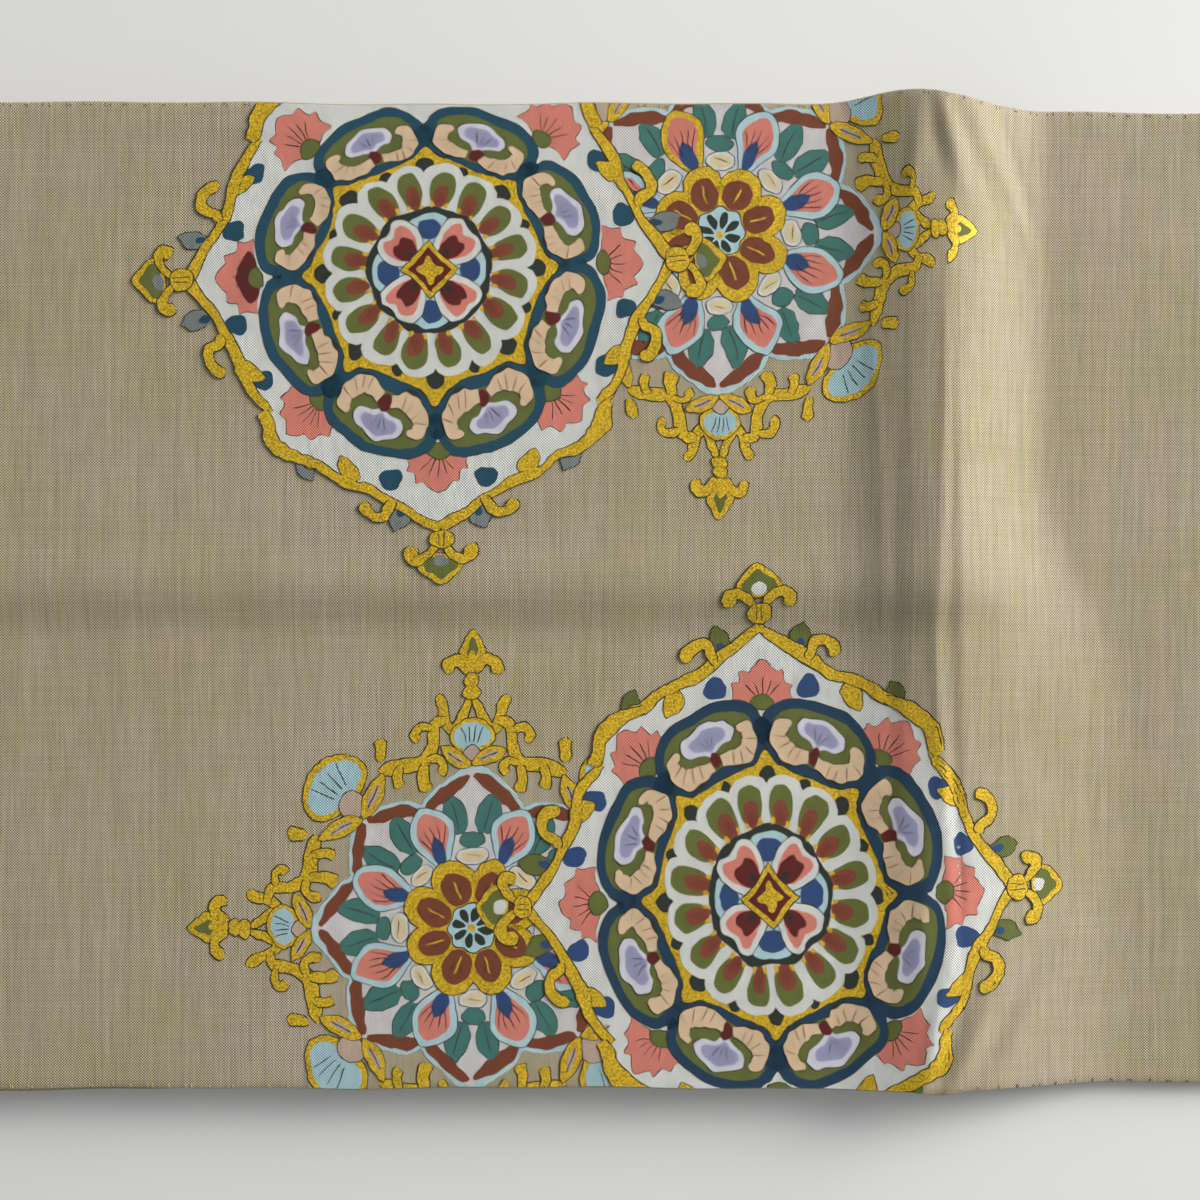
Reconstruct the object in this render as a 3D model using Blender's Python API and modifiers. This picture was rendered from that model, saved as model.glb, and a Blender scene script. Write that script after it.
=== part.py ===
"""A woven hassun obi sash, folded for the shelf, in metres with +Z up.

The obi lies along X with its face up. Its broad section is two plies of one cloth, turned back
at the tip and whipped together along both long edges. It runs over a stack of folded layers,
falls off the stack's end near the right, turns under and comes back along the table. The
narrow hand end, folded to half the width, lies under the +Y half.
"""

import math

import bmesh
import bpy

# Driving dimensions.
OBI_WIDTH = 0.308
FOLDED_LENGTH = 0.600
PLY = 0.0010
GAP = 0.0003
STACK_RUNS = 5
RUN_RISE = 0.0015
BAND_WIDTH = OBI_WIDTH / 2
FOLD_INNER_RADIUS = 0.00095
TURN_IN = 0.006
LIFT_IN = 0.008

# Where the face falls off the end of the stack: sooner in the upper half, which the hand end props.
CREST_X = 0.102
CREST_RISE = 0.0065
LOWER_CREST_SHARE = 0.55
CREST_SPREAD = 0.016
FALL_START_X = 0.105
FALL_END_X = 0.135
FALL_END_LOWER_X = 0.158
FALL_BLEND = 0.080
CREST_FLARE = 0.0020
FLARE_SPREAD = 0.016

# The soft slope beside the hand end, up to its fold, and how far the end fold's swell runs.
BAND_SLOPE_WIDTH = 0.014
SWELL_LENGTH = 0.016

# Heights and half lengths that follow.
PITCH = PLY + GAP
HALF_LENGTH = FOLDED_LENGTH / 2
HALF_WIDTH = OBI_WIDTH / 2
STACK_BOTTOM = 2 * PITCH
STACK_TOP = STACK_BOTTOM + STACK_RUNS * RUN_RISE
BAND_THICKNESS = 2 * PLY + GAP
BAND_BOTTOM = STACK_TOP + GAP
LOW_REST = STACK_BOTTOM
HIGH_REST = STACK_TOP + GAP
WRAP_RADIUS = FOLD_INNER_RADIUS + PLY / 2
WRAP_X = HALF_LENGTH - WRAP_RADIUS - PITCH - PLY / 2
TIP_X = -HALF_LENGTH + PITCH / 2 + PLY / 2
LOWER_TURN_RADIUS = PITCH
LOWER_TURN_X = -HALF_LENGTH + LOWER_TURN_RADIUS + PLY / 2

# Long runs of the broad section: from, to and number of steps, in metres along X.
TOP_RUNS = (
    {"start": TIP_X + TURN_IN + GAP, "end": 0.060, "steps": 5},
    {"start": 0.060, "end": 0.164, "steps": 24},
    {"start": 0.164, "end": 0.255, "steps": 3},
    {"start": 0.255, "end": WRAP_X, "steps": 8},
)
BOTTOM_STEPS = 2
WRAP_STEPS = 8
TIP_STEPS = 6

# Cross positions of the sections: the edges, a few between them and the slope's own steps.
SLOPE_STEPS = 4
FLAT_SHARES = (-1.0, -0.55, 0.55, 1.0)

# Ends and half width of each hidden layer, from the lowest, in metres.
STACK_LAYERS = (
    {"left": LOWER_TURN_X + LIFT_IN + GAP, "right": 0.1120, "half_width": 0.1528},
    {"left": -0.2950, "right": 0.1080, "half_width": 0.1520},
    {"left": -0.2925, "right": 0.1110, "half_width": 0.1531},
    {"left": -0.2965, "right": 0.1065, "half_width": 0.1524},
    {"left": -0.2935, "right": 0.1040, "half_width": 0.1530},
)
LAYER_GROOVE = 0.0007
LAYER_ROUND = ((0.06, 1.0), (0.28, 0.22), (0.50, 0.0), (0.72, 0.22), (0.94, 1.0))
CORNER_RADIUS = 0.004
CORNER_STEPS = 3

BAND_LEFT = -0.2915
BAND_RIGHT = 0.1030
BAND_FOLD_Y = 0.0030
BAND_EDGE_Y = BAND_FOLD_Y + BAND_WIDTH - 0.0045
BAND_FOLD_STEPS = 6

CLOTHS = {
    "face": {"colour": (0.34, 0.30, 0.21, 1.0), "roughness": 0.78},
    "back": {"colour": (0.32, 0.28, 0.20, 1.0), "roughness": 0.82},
    "layers": {"colour": (0.33, 0.29, 0.21, 1.0), "roughness": 0.84},
    "hand": {"colour": (0.35, 0.31, 0.22, 1.0), "roughness": 0.80},
}


def clear_scene():
    for obj in list(bpy.data.objects):
        bpy.data.objects.remove(obj)


def cloth_material(name):
    """A matt woven finish from the table of cloths."""
    material = bpy.data.materials.new(name)
    material.use_nodes = True
    shader = material.node_tree.nodes["Principled BSDF"]
    shader.inputs["Base Color"].default_value = CLOTHS[name]["colour"]
    shader.inputs["Roughness"].default_value = CLOTHS[name]["roughness"]
    shader.inputs["Metallic"].default_value = 0.0
    return material


def smooth(share):
    """0 to 1 with level ends."""
    share = min(max(share, 0.0), 1.0)
    return share * share * (3 - 2 * share)


def bell(distance, spread):
    return math.exp(-((distance / spread) ** 2))


def rest_height(x, y):
    """Height of what the broad section lies on: the stack and the hand end, then the lower run."""
    band = smooth(y / BAND_SLOPE_WIDTH + 1.0) * (BAND_THICKNESS + GAP)
    lower = smooth(0.5 - y / FALL_BLEND)
    fall_end = FALL_END_X + (FALL_END_LOWER_X - FALL_END_X) * lower
    fall = smooth((x - FALL_START_X) / (fall_end - FALL_START_X))
    crest = CREST_RISE * (1 - (1 - LOWER_CREST_SHARE) * lower) * bell(x - CREST_X, CREST_SPREAD)
    high = HIGH_REST + band + crest
    swell = (2 * FOLD_INNER_RADIUS - GAP) * bell(x - WRAP_X, SWELL_LENGTH)
    return high + (LOW_REST - high) * fall + swell


def arc(centre, radius, start_deg, sweep_deg, steps):
    """Points of an arc in the XZ plane, both ends left out."""
    points = []
    for step in range(1, steps):
        angle = math.radians(start_deg + sweep_deg * step / steps)
        points.append((centre[0] + radius * math.cos(angle), centre[1] + radius * math.sin(angle)))
    return points


def top_stations():
    stations = [TOP_RUNS[0]["start"]]
    for run in TOP_RUNS:
        pitch = (run["end"] - run["start"]) / run["steps"]
        stations += [run["start"] + pitch * step for step in range(1, run["steps"] + 1)]
    return stations


def back_path(y):
    """Centre line of the back ply: over the stack, round the right-hand fold and back below."""
    path = [(x, rest_height(x, y) + PLY / 2) for x in top_stations()]
    low = PITCH + PLY / 2
    path[-1] = (WRAP_X, low + 2 * WRAP_RADIUS)
    path += arc((WRAP_X, low + WRAP_RADIUS), WRAP_RADIUS, 90, -180, WRAP_STEPS)
    for step in range(BOTTOM_STEPS + 1):
        path.append((WRAP_X + (LOWER_TURN_X - WRAP_X) * step / BOTTOM_STEPS, low))
    return path


def moved_out(path, distance):
    """The path's points moved along its left-hand normals, up on the run that goes along +X."""
    moved = []
    for index, (x, z) in enumerate(path):
        before = path[max(index - 1, 0)]
        after = path[min(index + 1, len(path) - 1)]
        run = (after[0] - before[0], after[1] - before[1])
        length = math.hypot(*run)
        moved.append((x - run[1] / length * distance, z + run[0] / length * distance))
    return moved


def face_path(y):
    """Centre line of the face ply: turned in at the tip, over the back ply, and lifted at its end."""
    outer = moved_out(back_path(y), PITCH)
    level = rest_height(TIP_X, y) + PLY / 2
    tip = [(TIP_X + TURN_IN, level), (TIP_X, level)]
    tip += arc((TIP_X, level + PITCH / 2), PITCH / 2, 270, -180, TIP_STEPS)
    tip.append((TIP_X, level + PITCH))
    low = PLY / 2
    turn = arc((LOWER_TURN_X, low + LOWER_TURN_RADIUS), LOWER_TURN_RADIUS, 270, -180, WRAP_STEPS)
    lifted = low + 2 * LOWER_TURN_RADIUS
    return tip + outer + turn + [(LOWER_TURN_X, lifted), (LOWER_TURN_X + LIFT_IN, lifted)]


def edge_flare(x, z):
    """How much wider than its share the cloth lies where it rides over the crest."""
    on_top = 1.0 if z > STACK_TOP else 0.0
    return 1 + on_top * CREST_FLARE / HALF_WIDTH * bell(x - CREST_X, FLARE_SPREAD)


def broad_points(path_of):
    """Rows of points across the obi: at its edges, between them, and down the slope."""
    slope = [-BAND_SLOPE_WIDTH * step / SLOPE_STEPS for step in range(SLOPE_STEPS + 1)]
    rows = []
    for y in sorted(slope + [share * HALF_WIDTH for share in FLAT_SHARES]):
        rows.append([(x, y * edge_flare(x, z), z) for x, z in path_of(y)])
    return rows


def mesh_object(name, points, faces, cloth, parts):
    mesh = bpy.data.meshes.new(name)
    mesh.from_pydata(points, [], faces)
    mesh.update()
    obj = bpy.data.objects.new(name, mesh)
    obj.data.materials.append(cloth_material(cloth))
    parts.objects.link(obj)
    return obj


def cloth_wall(name, rows, cloth, parts):
    """An open sheet lofted through rows of points, given its thickness by Solidify."""
    across = len(rows[0])
    points = [point for row in rows for point in row]
    faces = []
    for row in range(len(rows) - 1):
        for column in range(across - 1):
            corner = row * across + column
            faces.append((corner, corner + 1, corner + across + 1, corner + across))
    obj = mesh_object(name, points, faces, cloth, parts)
    wall = obj.modifiers.new("ply", "SOLIDIFY")
    wall.thickness = PLY
    wall.offset = 0.0
    wall.use_quality_normals = True
    obj.data.shade_smooth()
    return obj


def rounded_outline(left, right, half_width, inset, z):
    """A rectangle with rounded corners, drawn in by the inset, counter-clockwise from above."""
    reach_x = ((right - inset, 1), (left + inset, -1))
    corners = []
    for quarter, (x, side_x, side_y) in enumerate(
        (
            (reach_x[0][0], 1, -1),
            (reach_x[0][0], 1, 1),
            (reach_x[1][0], -1, 1),
            (reach_x[1][0], -1, -1),
        )
    ):
        centre_x = x - side_x * CORNER_RADIUS
        centre_y = side_y * (half_width - inset - CORNER_RADIUS)
        for step in range(CORNER_STEPS + 1):
            angle = math.radians(-90 + 90 * quarter + 90 * step / CORNER_STEPS)
            reach = CORNER_RADIUS
            corners.append(
                (centre_x + reach * math.cos(angle), centre_y + reach * math.sin(angle), z)
            )
    return corners


def build_folded_layers(parts):
    """The hidden layers as one solid, rounded and grooved at its edges, layer by layer."""
    mesh = bmesh.new()
    rings = []
    for number, layer in enumerate(STACK_LAYERS):
        foot = STACK_BOTTOM + number * RUN_RISE
        for height_share, groove_share in LAYER_ROUND:
            inset = groove_share * LAYER_GROOVE
            outline = rounded_outline(
                layer["left"], layer["right"], layer["half_width"], inset, foot + height_share * RUN_RISE
            )
            rings.append([mesh.verts.new(point) for point in outline])
    for lower, upper in zip(rings, rings[1:]):
        for index in range(len(lower)):
            after = (index + 1) % len(lower)
            mesh.faces.new((lower[index], lower[after], upper[after], upper[index]))
    mesh.faces.new(rings[0][::-1])
    mesh.faces.new(rings[-1])
    bmesh.ops.recalc_face_normals(mesh, faces=mesh.faces)
    data = bpy.data.meshes.new("folded_layers")
    mesh.to_mesh(data)
    mesh.free()
    obj = bpy.data.objects.new("folded_layers", data)
    obj.data.materials.append(cloth_material("layers"))
    parts.objects.link(obj)
    return obj


def build_hand_end(parts):
    """The hand end, folded along its length: two plies with the fold at the obi's middle."""
    low = BAND_BOTTOM + PLY / 2
    high = low + PITCH
    fold_y = BAND_FOLD_Y + PITCH / 2 + PLY / 2
    section = [(BAND_EDGE_Y, high), (fold_y, high)]
    for step in range(1, BAND_FOLD_STEPS):
        angle = math.radians(90 + 180 * step / BAND_FOLD_STEPS)
        reach = PITCH / 2
        section.append((fold_y + reach * math.cos(angle), low + reach + reach * math.sin(angle)))
    section += [(fold_y, low), (BAND_EDGE_Y, low)]
    rows = [[(x, y, z) for y, z in section] for x in (BAND_LEFT, BAND_RIGHT)]
    return cloth_wall("te_band", rows, "hand", parts)


def main():
    clear_scene()
    parts = bpy.data.collections.new("obi_sash")
    bpy.context.scene.collection.children.link(parts)
    cloth_wall("taiko_face", broad_points(face_path), "face", parts)
    cloth_wall("taiko_back", broad_points(back_path), "back", parts)
    build_folded_layers(parts)
    build_hand_end(parts)


main()
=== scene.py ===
import math

import bpy
import numpy as np
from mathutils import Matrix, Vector


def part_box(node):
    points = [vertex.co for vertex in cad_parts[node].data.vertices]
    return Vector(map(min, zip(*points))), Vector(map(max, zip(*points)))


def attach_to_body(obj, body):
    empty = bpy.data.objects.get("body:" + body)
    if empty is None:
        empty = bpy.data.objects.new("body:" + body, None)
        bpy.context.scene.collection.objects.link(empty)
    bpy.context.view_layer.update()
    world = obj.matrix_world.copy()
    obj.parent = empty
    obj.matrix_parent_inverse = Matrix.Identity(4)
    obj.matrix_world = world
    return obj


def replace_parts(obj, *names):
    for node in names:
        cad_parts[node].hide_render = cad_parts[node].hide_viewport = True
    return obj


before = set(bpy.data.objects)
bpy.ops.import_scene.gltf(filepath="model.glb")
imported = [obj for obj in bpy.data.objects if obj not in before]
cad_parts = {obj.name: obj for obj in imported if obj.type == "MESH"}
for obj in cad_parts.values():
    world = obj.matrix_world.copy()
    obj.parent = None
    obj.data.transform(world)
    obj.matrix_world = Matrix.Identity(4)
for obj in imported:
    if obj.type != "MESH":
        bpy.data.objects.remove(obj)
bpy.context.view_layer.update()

bl_info = {
    "name": "Folded obi sash",
    "version": (1, 0, 0),
    "blender": (4, 5, 0),
    "location": "3D View > Sidebar > Obi",
    "description": "Weaves the figured face, the plies and the folded layers of an obi lying flat",
    "category": "Add Mesh",
}

FACE_LOW, FACE_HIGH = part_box("taiko_face")
STACK_LOW, STACK_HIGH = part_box("folded_layers")
BAND_LOW, BAND_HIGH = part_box("te_band")

# Sizes of the cloth, in metres.
MM = 0.001
PLY = 0.0010
GAP = 0.0003
PITCH = PLY + GAP
TWO_PLIES = PLY + PITCH
HALF_LENGTH = FACE_HIGH[0]
HALF_WIDTH = 0.154
LOWER_HALF_WIDTH = HALF_WIDTH - 0.0006
WEAVE_PITCH = 0.00088
RIM_BULGE = 0.38

# The crest before the end of the stack, lower in the lower half, and the fall after it.
CREST_START = 0.0720
CREST_X = 0.1055
CREST_RISE = 0.0066
LOWER_CREST_LOSS = 0.45
FALL_START = 0.1060
FALL_END = 0.1440
FALL_END_LOWER = 0.1700
FALL_BLEND = 0.08
FINE_START = 0.068
FINE_END = 0.164
FINE_SPACING = 0.0009

# The slope beside the hand end with its ridge, and the soft hem along the far edge.
BAND_SLOPE = 0.0145
BAND_SLOPE_TOP = 0.0022
RIDGE_RISE = 0.0008
RIDGE_Y = 0.0062
RIDGE_WIDTH = 0.0075
HEM_Y = 0.1425
HEM_SLOPE = 0.0035
HEM_END = -0.075
HEM_RISE = 0.00028

# The folds at the two ends, and what the cloth rests on.
END_SWELL = 0.016
FOLD_INNER_RADIUS = 0.00095
FOLD_OUTER_RADIUS = FOLD_INNER_RADIUS + PLY + PITCH
WRAP_X = HALF_LENGTH - FOLD_OUTER_RADIUS
LOW_REST = 2 * PITCH
HIGH_REST = BAND_LOW[2]
BAND_RISE = BAND_HIGH[2] - BAND_LOW[2] + GAP
TIP_RADIUS = PITCH / 2 + PLY / 2
TIP_X = -HALF_LENGTH + TIP_RADIUS
TURN_IN = 0.006
LOWER_TURN_RADIUS = PITCH + PLY / 2
LOWER_TURN_X = -HALF_LENGTH + LOWER_TURN_RADIUS
LIFT_IN = 0.008

# The main soft ridges (height > 0) and troughs of the face: where, which way
# they run, how far, how wide and how high, in millimetres and degrees.
CREASES = (
    # x, y, turn, length, width, height
    (106.5, 60, 88, 66, 1.8, 0.60),
    (108.5, 50, 90, 90, 1.3, -0.30),
    (112.0, 20, 91, 90, 2.0, 0.35),
    (106.0, -45, 93, 60, 2.0, 0.55),
    (111.5, -70, 92, 55, 1.6, -0.35),
    (91.0, -30, 89, 120, 2.6, -0.40),
    (86.0, 60, 92, 60, 2.2, 0.30),
    (101.0, -98, 86, 38, 3.0, 0.45),
    (97.0, 134, 80, 18, 2.8, 0.80),
    (104.0, 141, 97, 15, 2.5, -0.70),
    (109.5, 139, 104, 20, 2.6, 0.90),
    (117.0, 136, 112, 20, 2.2, -0.70),
    (126.0, 132, 116, 22, 2.0, 0.80),
    (131.0, 137, 108, 18, 2.4, -0.70),
    (104.0, -136, 78, 20, 2.7, 0.90),
    (110.5, -138, 70, 20, 2.6, -1.00),
    (118.0, -136, 64, 20, 2.2, 0.80),
    (126.0, -135, 60, 20, 2.4, -0.75),
    (134.0, -134, 56, 20, 2.8, 0.60),
    (143.0, -138, 52, 18, 3.4, -0.45),
    (84.0, 20, 90, 110, 6.5, -0.25),
    (-150.0, 60, 90, 90, 6.0, 0.12),
    (-128.0, -70, 92, 80, 7.0, 0.14),
    (-96.0, 70, 89, 60, 6.0, -0.10),
    (-70.0, -20, 91, 90, 8.0, -0.10),
    (150.0, 30, 88, 120, 9.0, 0.16),
    (168.0, -60, 92, 80, 8.0, -0.14),
    (205.0, 40, 89, 110, 12.0, 0.22),
    (246.0, -30, 92, 120, 13.0, -0.20),
    (-215.0, 10, 90, 120, 12.0, 0.20),
    (-258.0, -50, 88, 90, 12.0, -0.18),
)

# Slight unevenness: height and pitch in metres, how much Y counts, and seed.
WAVES = (
    (0.00012, 0.035, 0.35, 3),
    (0.00010, 0.060, 1.0, 8),
)

# How far each long edge stands out: by how much, where along X and over what reach, in metres.
FLARES = {
    1: ((0.0030, 0.094, 0.017), (0.0008, -0.20, 0.06)),
    -1: ((0.0010, 0.106, 0.006), (0.0006, 0.100, 0.02)),
}


def smooth(share):
    """0 below 0, 1 above 1 and 3t^2 - 2t^3 between, with level ends."""
    share = np.clip(share, 0.0, 1.0)
    return share * share * (3 - 2 * share)


def bell(distance, spread):
    """exp(-(distance / spread)^2)."""
    return np.exp(-((distance / spread) ** 2))


def ripple(x, y, pitch, seed):
    """A gentle uneven wave: the mean of four sines, their directions and phases drawn from the seed."""
    draw = np.random.default_rng(seed)
    turns, stretches, phases = (draw.uniform(*span, 4) for span in ((0, math.pi), (0.7, 1.5), (0, 6.28)))
    total = 0.0
    for turn, stretch, phase in zip(turns, stretches, phases):
        along = x * math.cos(turn) + y * math.sin(turn)
        total = total + np.sin(along * 6.28 / (pitch * stretch) + phase)
    return total / 4


def relief(x, y):
    """Creases and slight unevenness of the lying cloth, which die out towards the two end folds.

    Each crease is a bell across its line times a bell along it, and its line sways a little.
    """
    total = sum(height * ripple(x, y * share, pitch, seed) for height, pitch, share, seed in WAVES)
    for x0, y0, turn, length, width, height in CREASES:
        cos, sin = math.cos(math.radians(turn)), math.sin(math.radians(turn))
        along = (x - x0 * MM) * cos + (y - y0 * MM) * sin
        across = (y - y0 * MM) * cos - (x - x0 * MM) * sin
        sway = 0.15 * width * MM * np.sin(along / (0.4 * length * MM))
        total = total + height * MM * bell(across - sway, width * MM) * bell(along, length * MM)
    hem = smooth((y - HEM_Y) / HEM_SLOPE) * smooth((HEM_END - x) / 0.02)
    return (total + HEM_RISE * hem) * smooth((WRAP_X - x) / 0.03) * smooth((x - TIP_X) / 0.02)


def face_height(x, y):
    """Top of the face ply: what it rests on (stack and hand end, then the lower run) and two plies.

    It leans up to the crest, then blends down over the fall, which is longer in the lower half.
    """
    band = smooth((y - BAND_SLOPE_TOP) / BAND_SLOPE + 1.0) * BAND_RISE
    ridge = RIDGE_RISE * bell(y - RIDGE_Y, RIDGE_WIDTH)
    lean = CREST_RISE * smooth((x - CREST_START) / (CREST_X - CREST_START))
    lean = lean * (1 - LOWER_CREST_LOSS * smooth((0.01 - y) / 0.07))
    high = HIGH_REST + band + ridge + lean
    fall_end = FALL_END + (FALL_END_LOWER - FALL_END) * smooth(0.5 - y / FALL_BLEND)
    fall = smooth((x - FALL_START) / (fall_end - FALL_START))
    swell = (2 * FOLD_INNER_RADIUS - GAP) * bell(x - WRAP_X, END_SWELL)
    return high + (LOW_REST - high) * fall + swell + TWO_PLIES + relief(x, y)


def secant(x, y, step=0.0002):
    """How much thicker, measured upright, a layer of the sloping face is than across itself."""
    slope_x = (face_height(x + step, y) - face_height(x - step, y)) / (2 * step)
    slope_y = (face_height(x, y + step) - face_height(x, y - step)) / (2 * step)
    return np.sqrt(1 + slope_x**2 + slope_y**2)


def edge_at(x, side):
    """Distance of a long edge from the middle: the half width, its flares and a slight wander."""
    wander = 0.00025 * np.sin(x / 0.021 + side) + 0.0002 * np.sin(x / 0.0083 + 2 * side)
    flare = sum(out * bell(x - middle, reach) for out, middle, reach in FLARES[side])
    return HALF_WIDTH + flare + wander - 0.0001


def set_uv(mesh, uv):
    """One UV pair for each vertex, in metres along and across the cloth, on the map named cloth."""
    layer = mesh.uv_layers.new(name="cloth")
    corners = np.empty(len(mesh.loops), np.int32)
    mesh.loops.foreach_get("vertex_index", corners)
    layer.uv.foreach_set("vector", np.ascontiguousarray(uv[corners], np.float32).ravel())


def new_mesh_object(name, points, faces, material, uv):
    """A smooth-shaded piece at the origin from arrays of points and UV pairs and a list of faces."""
    mesh = bpy.data.meshes.new(name)
    mesh.from_pydata(points.tolist(), [], faces)
    mesh.update()
    set_uv(mesh, uv)
    mesh.shade_smooth()
    mesh.materials.append(material)
    obj = bpy.data.objects.new(name, mesh)
    bpy.context.scene.collection.objects.link(obj)
    return obj


def grid_faces(rows, columns, wrap=False, start=0):
    """Quads of a grid stored row by row, closed round its columns where wrap is set."""
    row = np.arange(rows - 1)[:, None] * columns
    column = np.arange(columns if wrap else columns - 1)[None, :]
    after = (column + 1) % columns
    quads = np.stack([row + column, row + after, row + columns + after, row + columns + column], -1)
    return quads.reshape(-1, 4) + start


def cloth_shell(name, outer, material):
    """A closed ply: the grid of outer points, the same grid moved in along its normals, and round rims.

    Each row of the grid becomes a loop: outer points, two rim points, inner points, two rim points.
    """
    along = np.gradient(outer, axis=0)
    across = np.gradient(outer, axis=1)
    normal = np.cross(along, across)
    normal /= np.linalg.norm(normal, axis=2, keepdims=True)
    across /= np.linalg.norm(across, axis=2, keepdims=True)
    inner = outer - normal * PLY
    rims = []
    for column, side, depths in ((-1, 1, (0.24, 0.76)), (0, -1, (0.76, 0.24))):
        for depth in depths:
            rim = outer[:, column] - normal[:, column] * PLY * depth
            rims.append((rim + side * RIM_BULGE * PLY * across[:, column])[:, None])
    loop = np.concatenate([outer, *rims[:2], inner[:, ::-1], *rims[2:]], 1)
    rows, columns = outer.shape[:2]
    count = loop.shape[1]
    high = np.concatenate([[count - 1], np.arange(columns), [columns]])
    low = np.concatenate([[count - 2], np.arange(2 * columns + 1, columns + 1, -1), [columns + 1]])
    first = np.stack([high[:-1], low[:-1], low[1:], high[1:]], -1)
    last = first[:, ::-1] + (rows - 1) * count
    faces = np.concatenate([grid_faces(rows, count, wrap=True), first, last])[:, ::-1]
    run = np.linalg.norm(np.diff(outer[:, columns // 2], axis=0), axis=1)
    distance = np.concatenate([[0.0], np.cumsum(run)])
    uv = np.stack([np.broadcast_to(distance[:, None], loop.shape[:2]), loop[:, :, 1]], -1)
    return new_mesh_object(name, loop.reshape(-1, 3), faces.tolist(), material, uv.reshape(-1, 2))


def arc(centre, radius, start_deg, sweep_deg, steps):
    """x and z of an arc, both ends left out, as two columns."""
    angle = np.radians(start_deg + sweep_deg * np.arange(1, steps) / steps)
    return centre[0] + radius * np.cos(angle), centre[1] + radius * np.sin(angle)


def stations(start, end, spacing):
    """Places along X from start to end: closer together over the crest."""
    runs = ((start, FINE_START, spacing), (FINE_START, FINE_END, FINE_SPACING), (FINE_END, end, spacing))
    places = [np.linspace(a, b, max(2, round((b - a) / step)), endpoint=False) for a, b, step in runs]
    return np.concatenate(places + [[end]])


# Threads and finishes.

DYES = {
    "olive ground": (163, 153, 122),
    "mauve ground": (169, 157, 137),
    "citron slub": (164, 152, 98),
    "white": (207, 209, 203),
    "ash": (200, 197, 196),
    "cream": (214, 196, 152),
    "gold": (212, 176, 40),
    "teal": (28, 72, 92),
    "navy": (28, 60, 84),
    "cobalt": (44, 72, 116),
    "bud grey": (118, 126, 124),
    "leaf": (98, 106, 48),
    "pine": (64, 116, 107),
    "ink": (48, 42, 34),
    "black green": (42, 49, 42),
    "umber": (118, 62, 38),
    "rust": (132, 66, 46),
    "maroon": (92, 28, 26),
    "coral": (210, 126, 110),
    "beige": (214, 186, 152),
    "lavender": (150, 150, 182),
    "lilac white": (205, 203, 212),
    "sky": (158, 190, 196),
    "powder": (170, 200, 204),
    "shell": (182, 160, 142),
}
METALLIC = {"gold"}


def linear(rgb):
    """Eight-bit sRGB to linear light."""
    share = np.asarray(rgb, float) / 255
    return np.where(share <= 0.04045, share / 12.92, ((share + 0.055) / 1.055) ** 2.4)


class Term:
    """A shader socket with arithmetic: each operator adds a Math node to the tree."""

    def __init__(self, tree, socket):
        self.tree = tree
        self.socket = socket

    def math(self, operation, *terms):
        node = self.tree.nodes.new("ShaderNodeMath")
        node.operation = operation
        for slot, term in zip(node.inputs, terms):
            plug(self.tree, slot, term)
        return Term(self.tree, node.outputs[0])

    def __add__(self, other):
        return self.math("ADD", self, other)

    def __mul__(self, other):
        return self.math("MULTIPLY", self, other)

    def __sub__(self, other):
        return self.math("SUBTRACT", self, other)

    def __rsub__(self, other):
        return self.math("SUBTRACT", other, self)

    __radd__ = __add__
    __rmul__ = __mul__

    def sine(self):
        return self.math("SINE", self)

    def swing(self, reach):
        """The term less a half, times reach."""
        return (self - 0.5) * reach

    def clamped(self):
        return self.math("MINIMUM", self.math("MAXIMUM", self, 0.0), 1.0)


def plug(tree, slot, value):
    """Links a term to a socket, or sets the socket to a plain value."""
    if isinstance(value, Term):
        tree.links.new(value.socket, slot)
    else:
        slot.default_value = value


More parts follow.
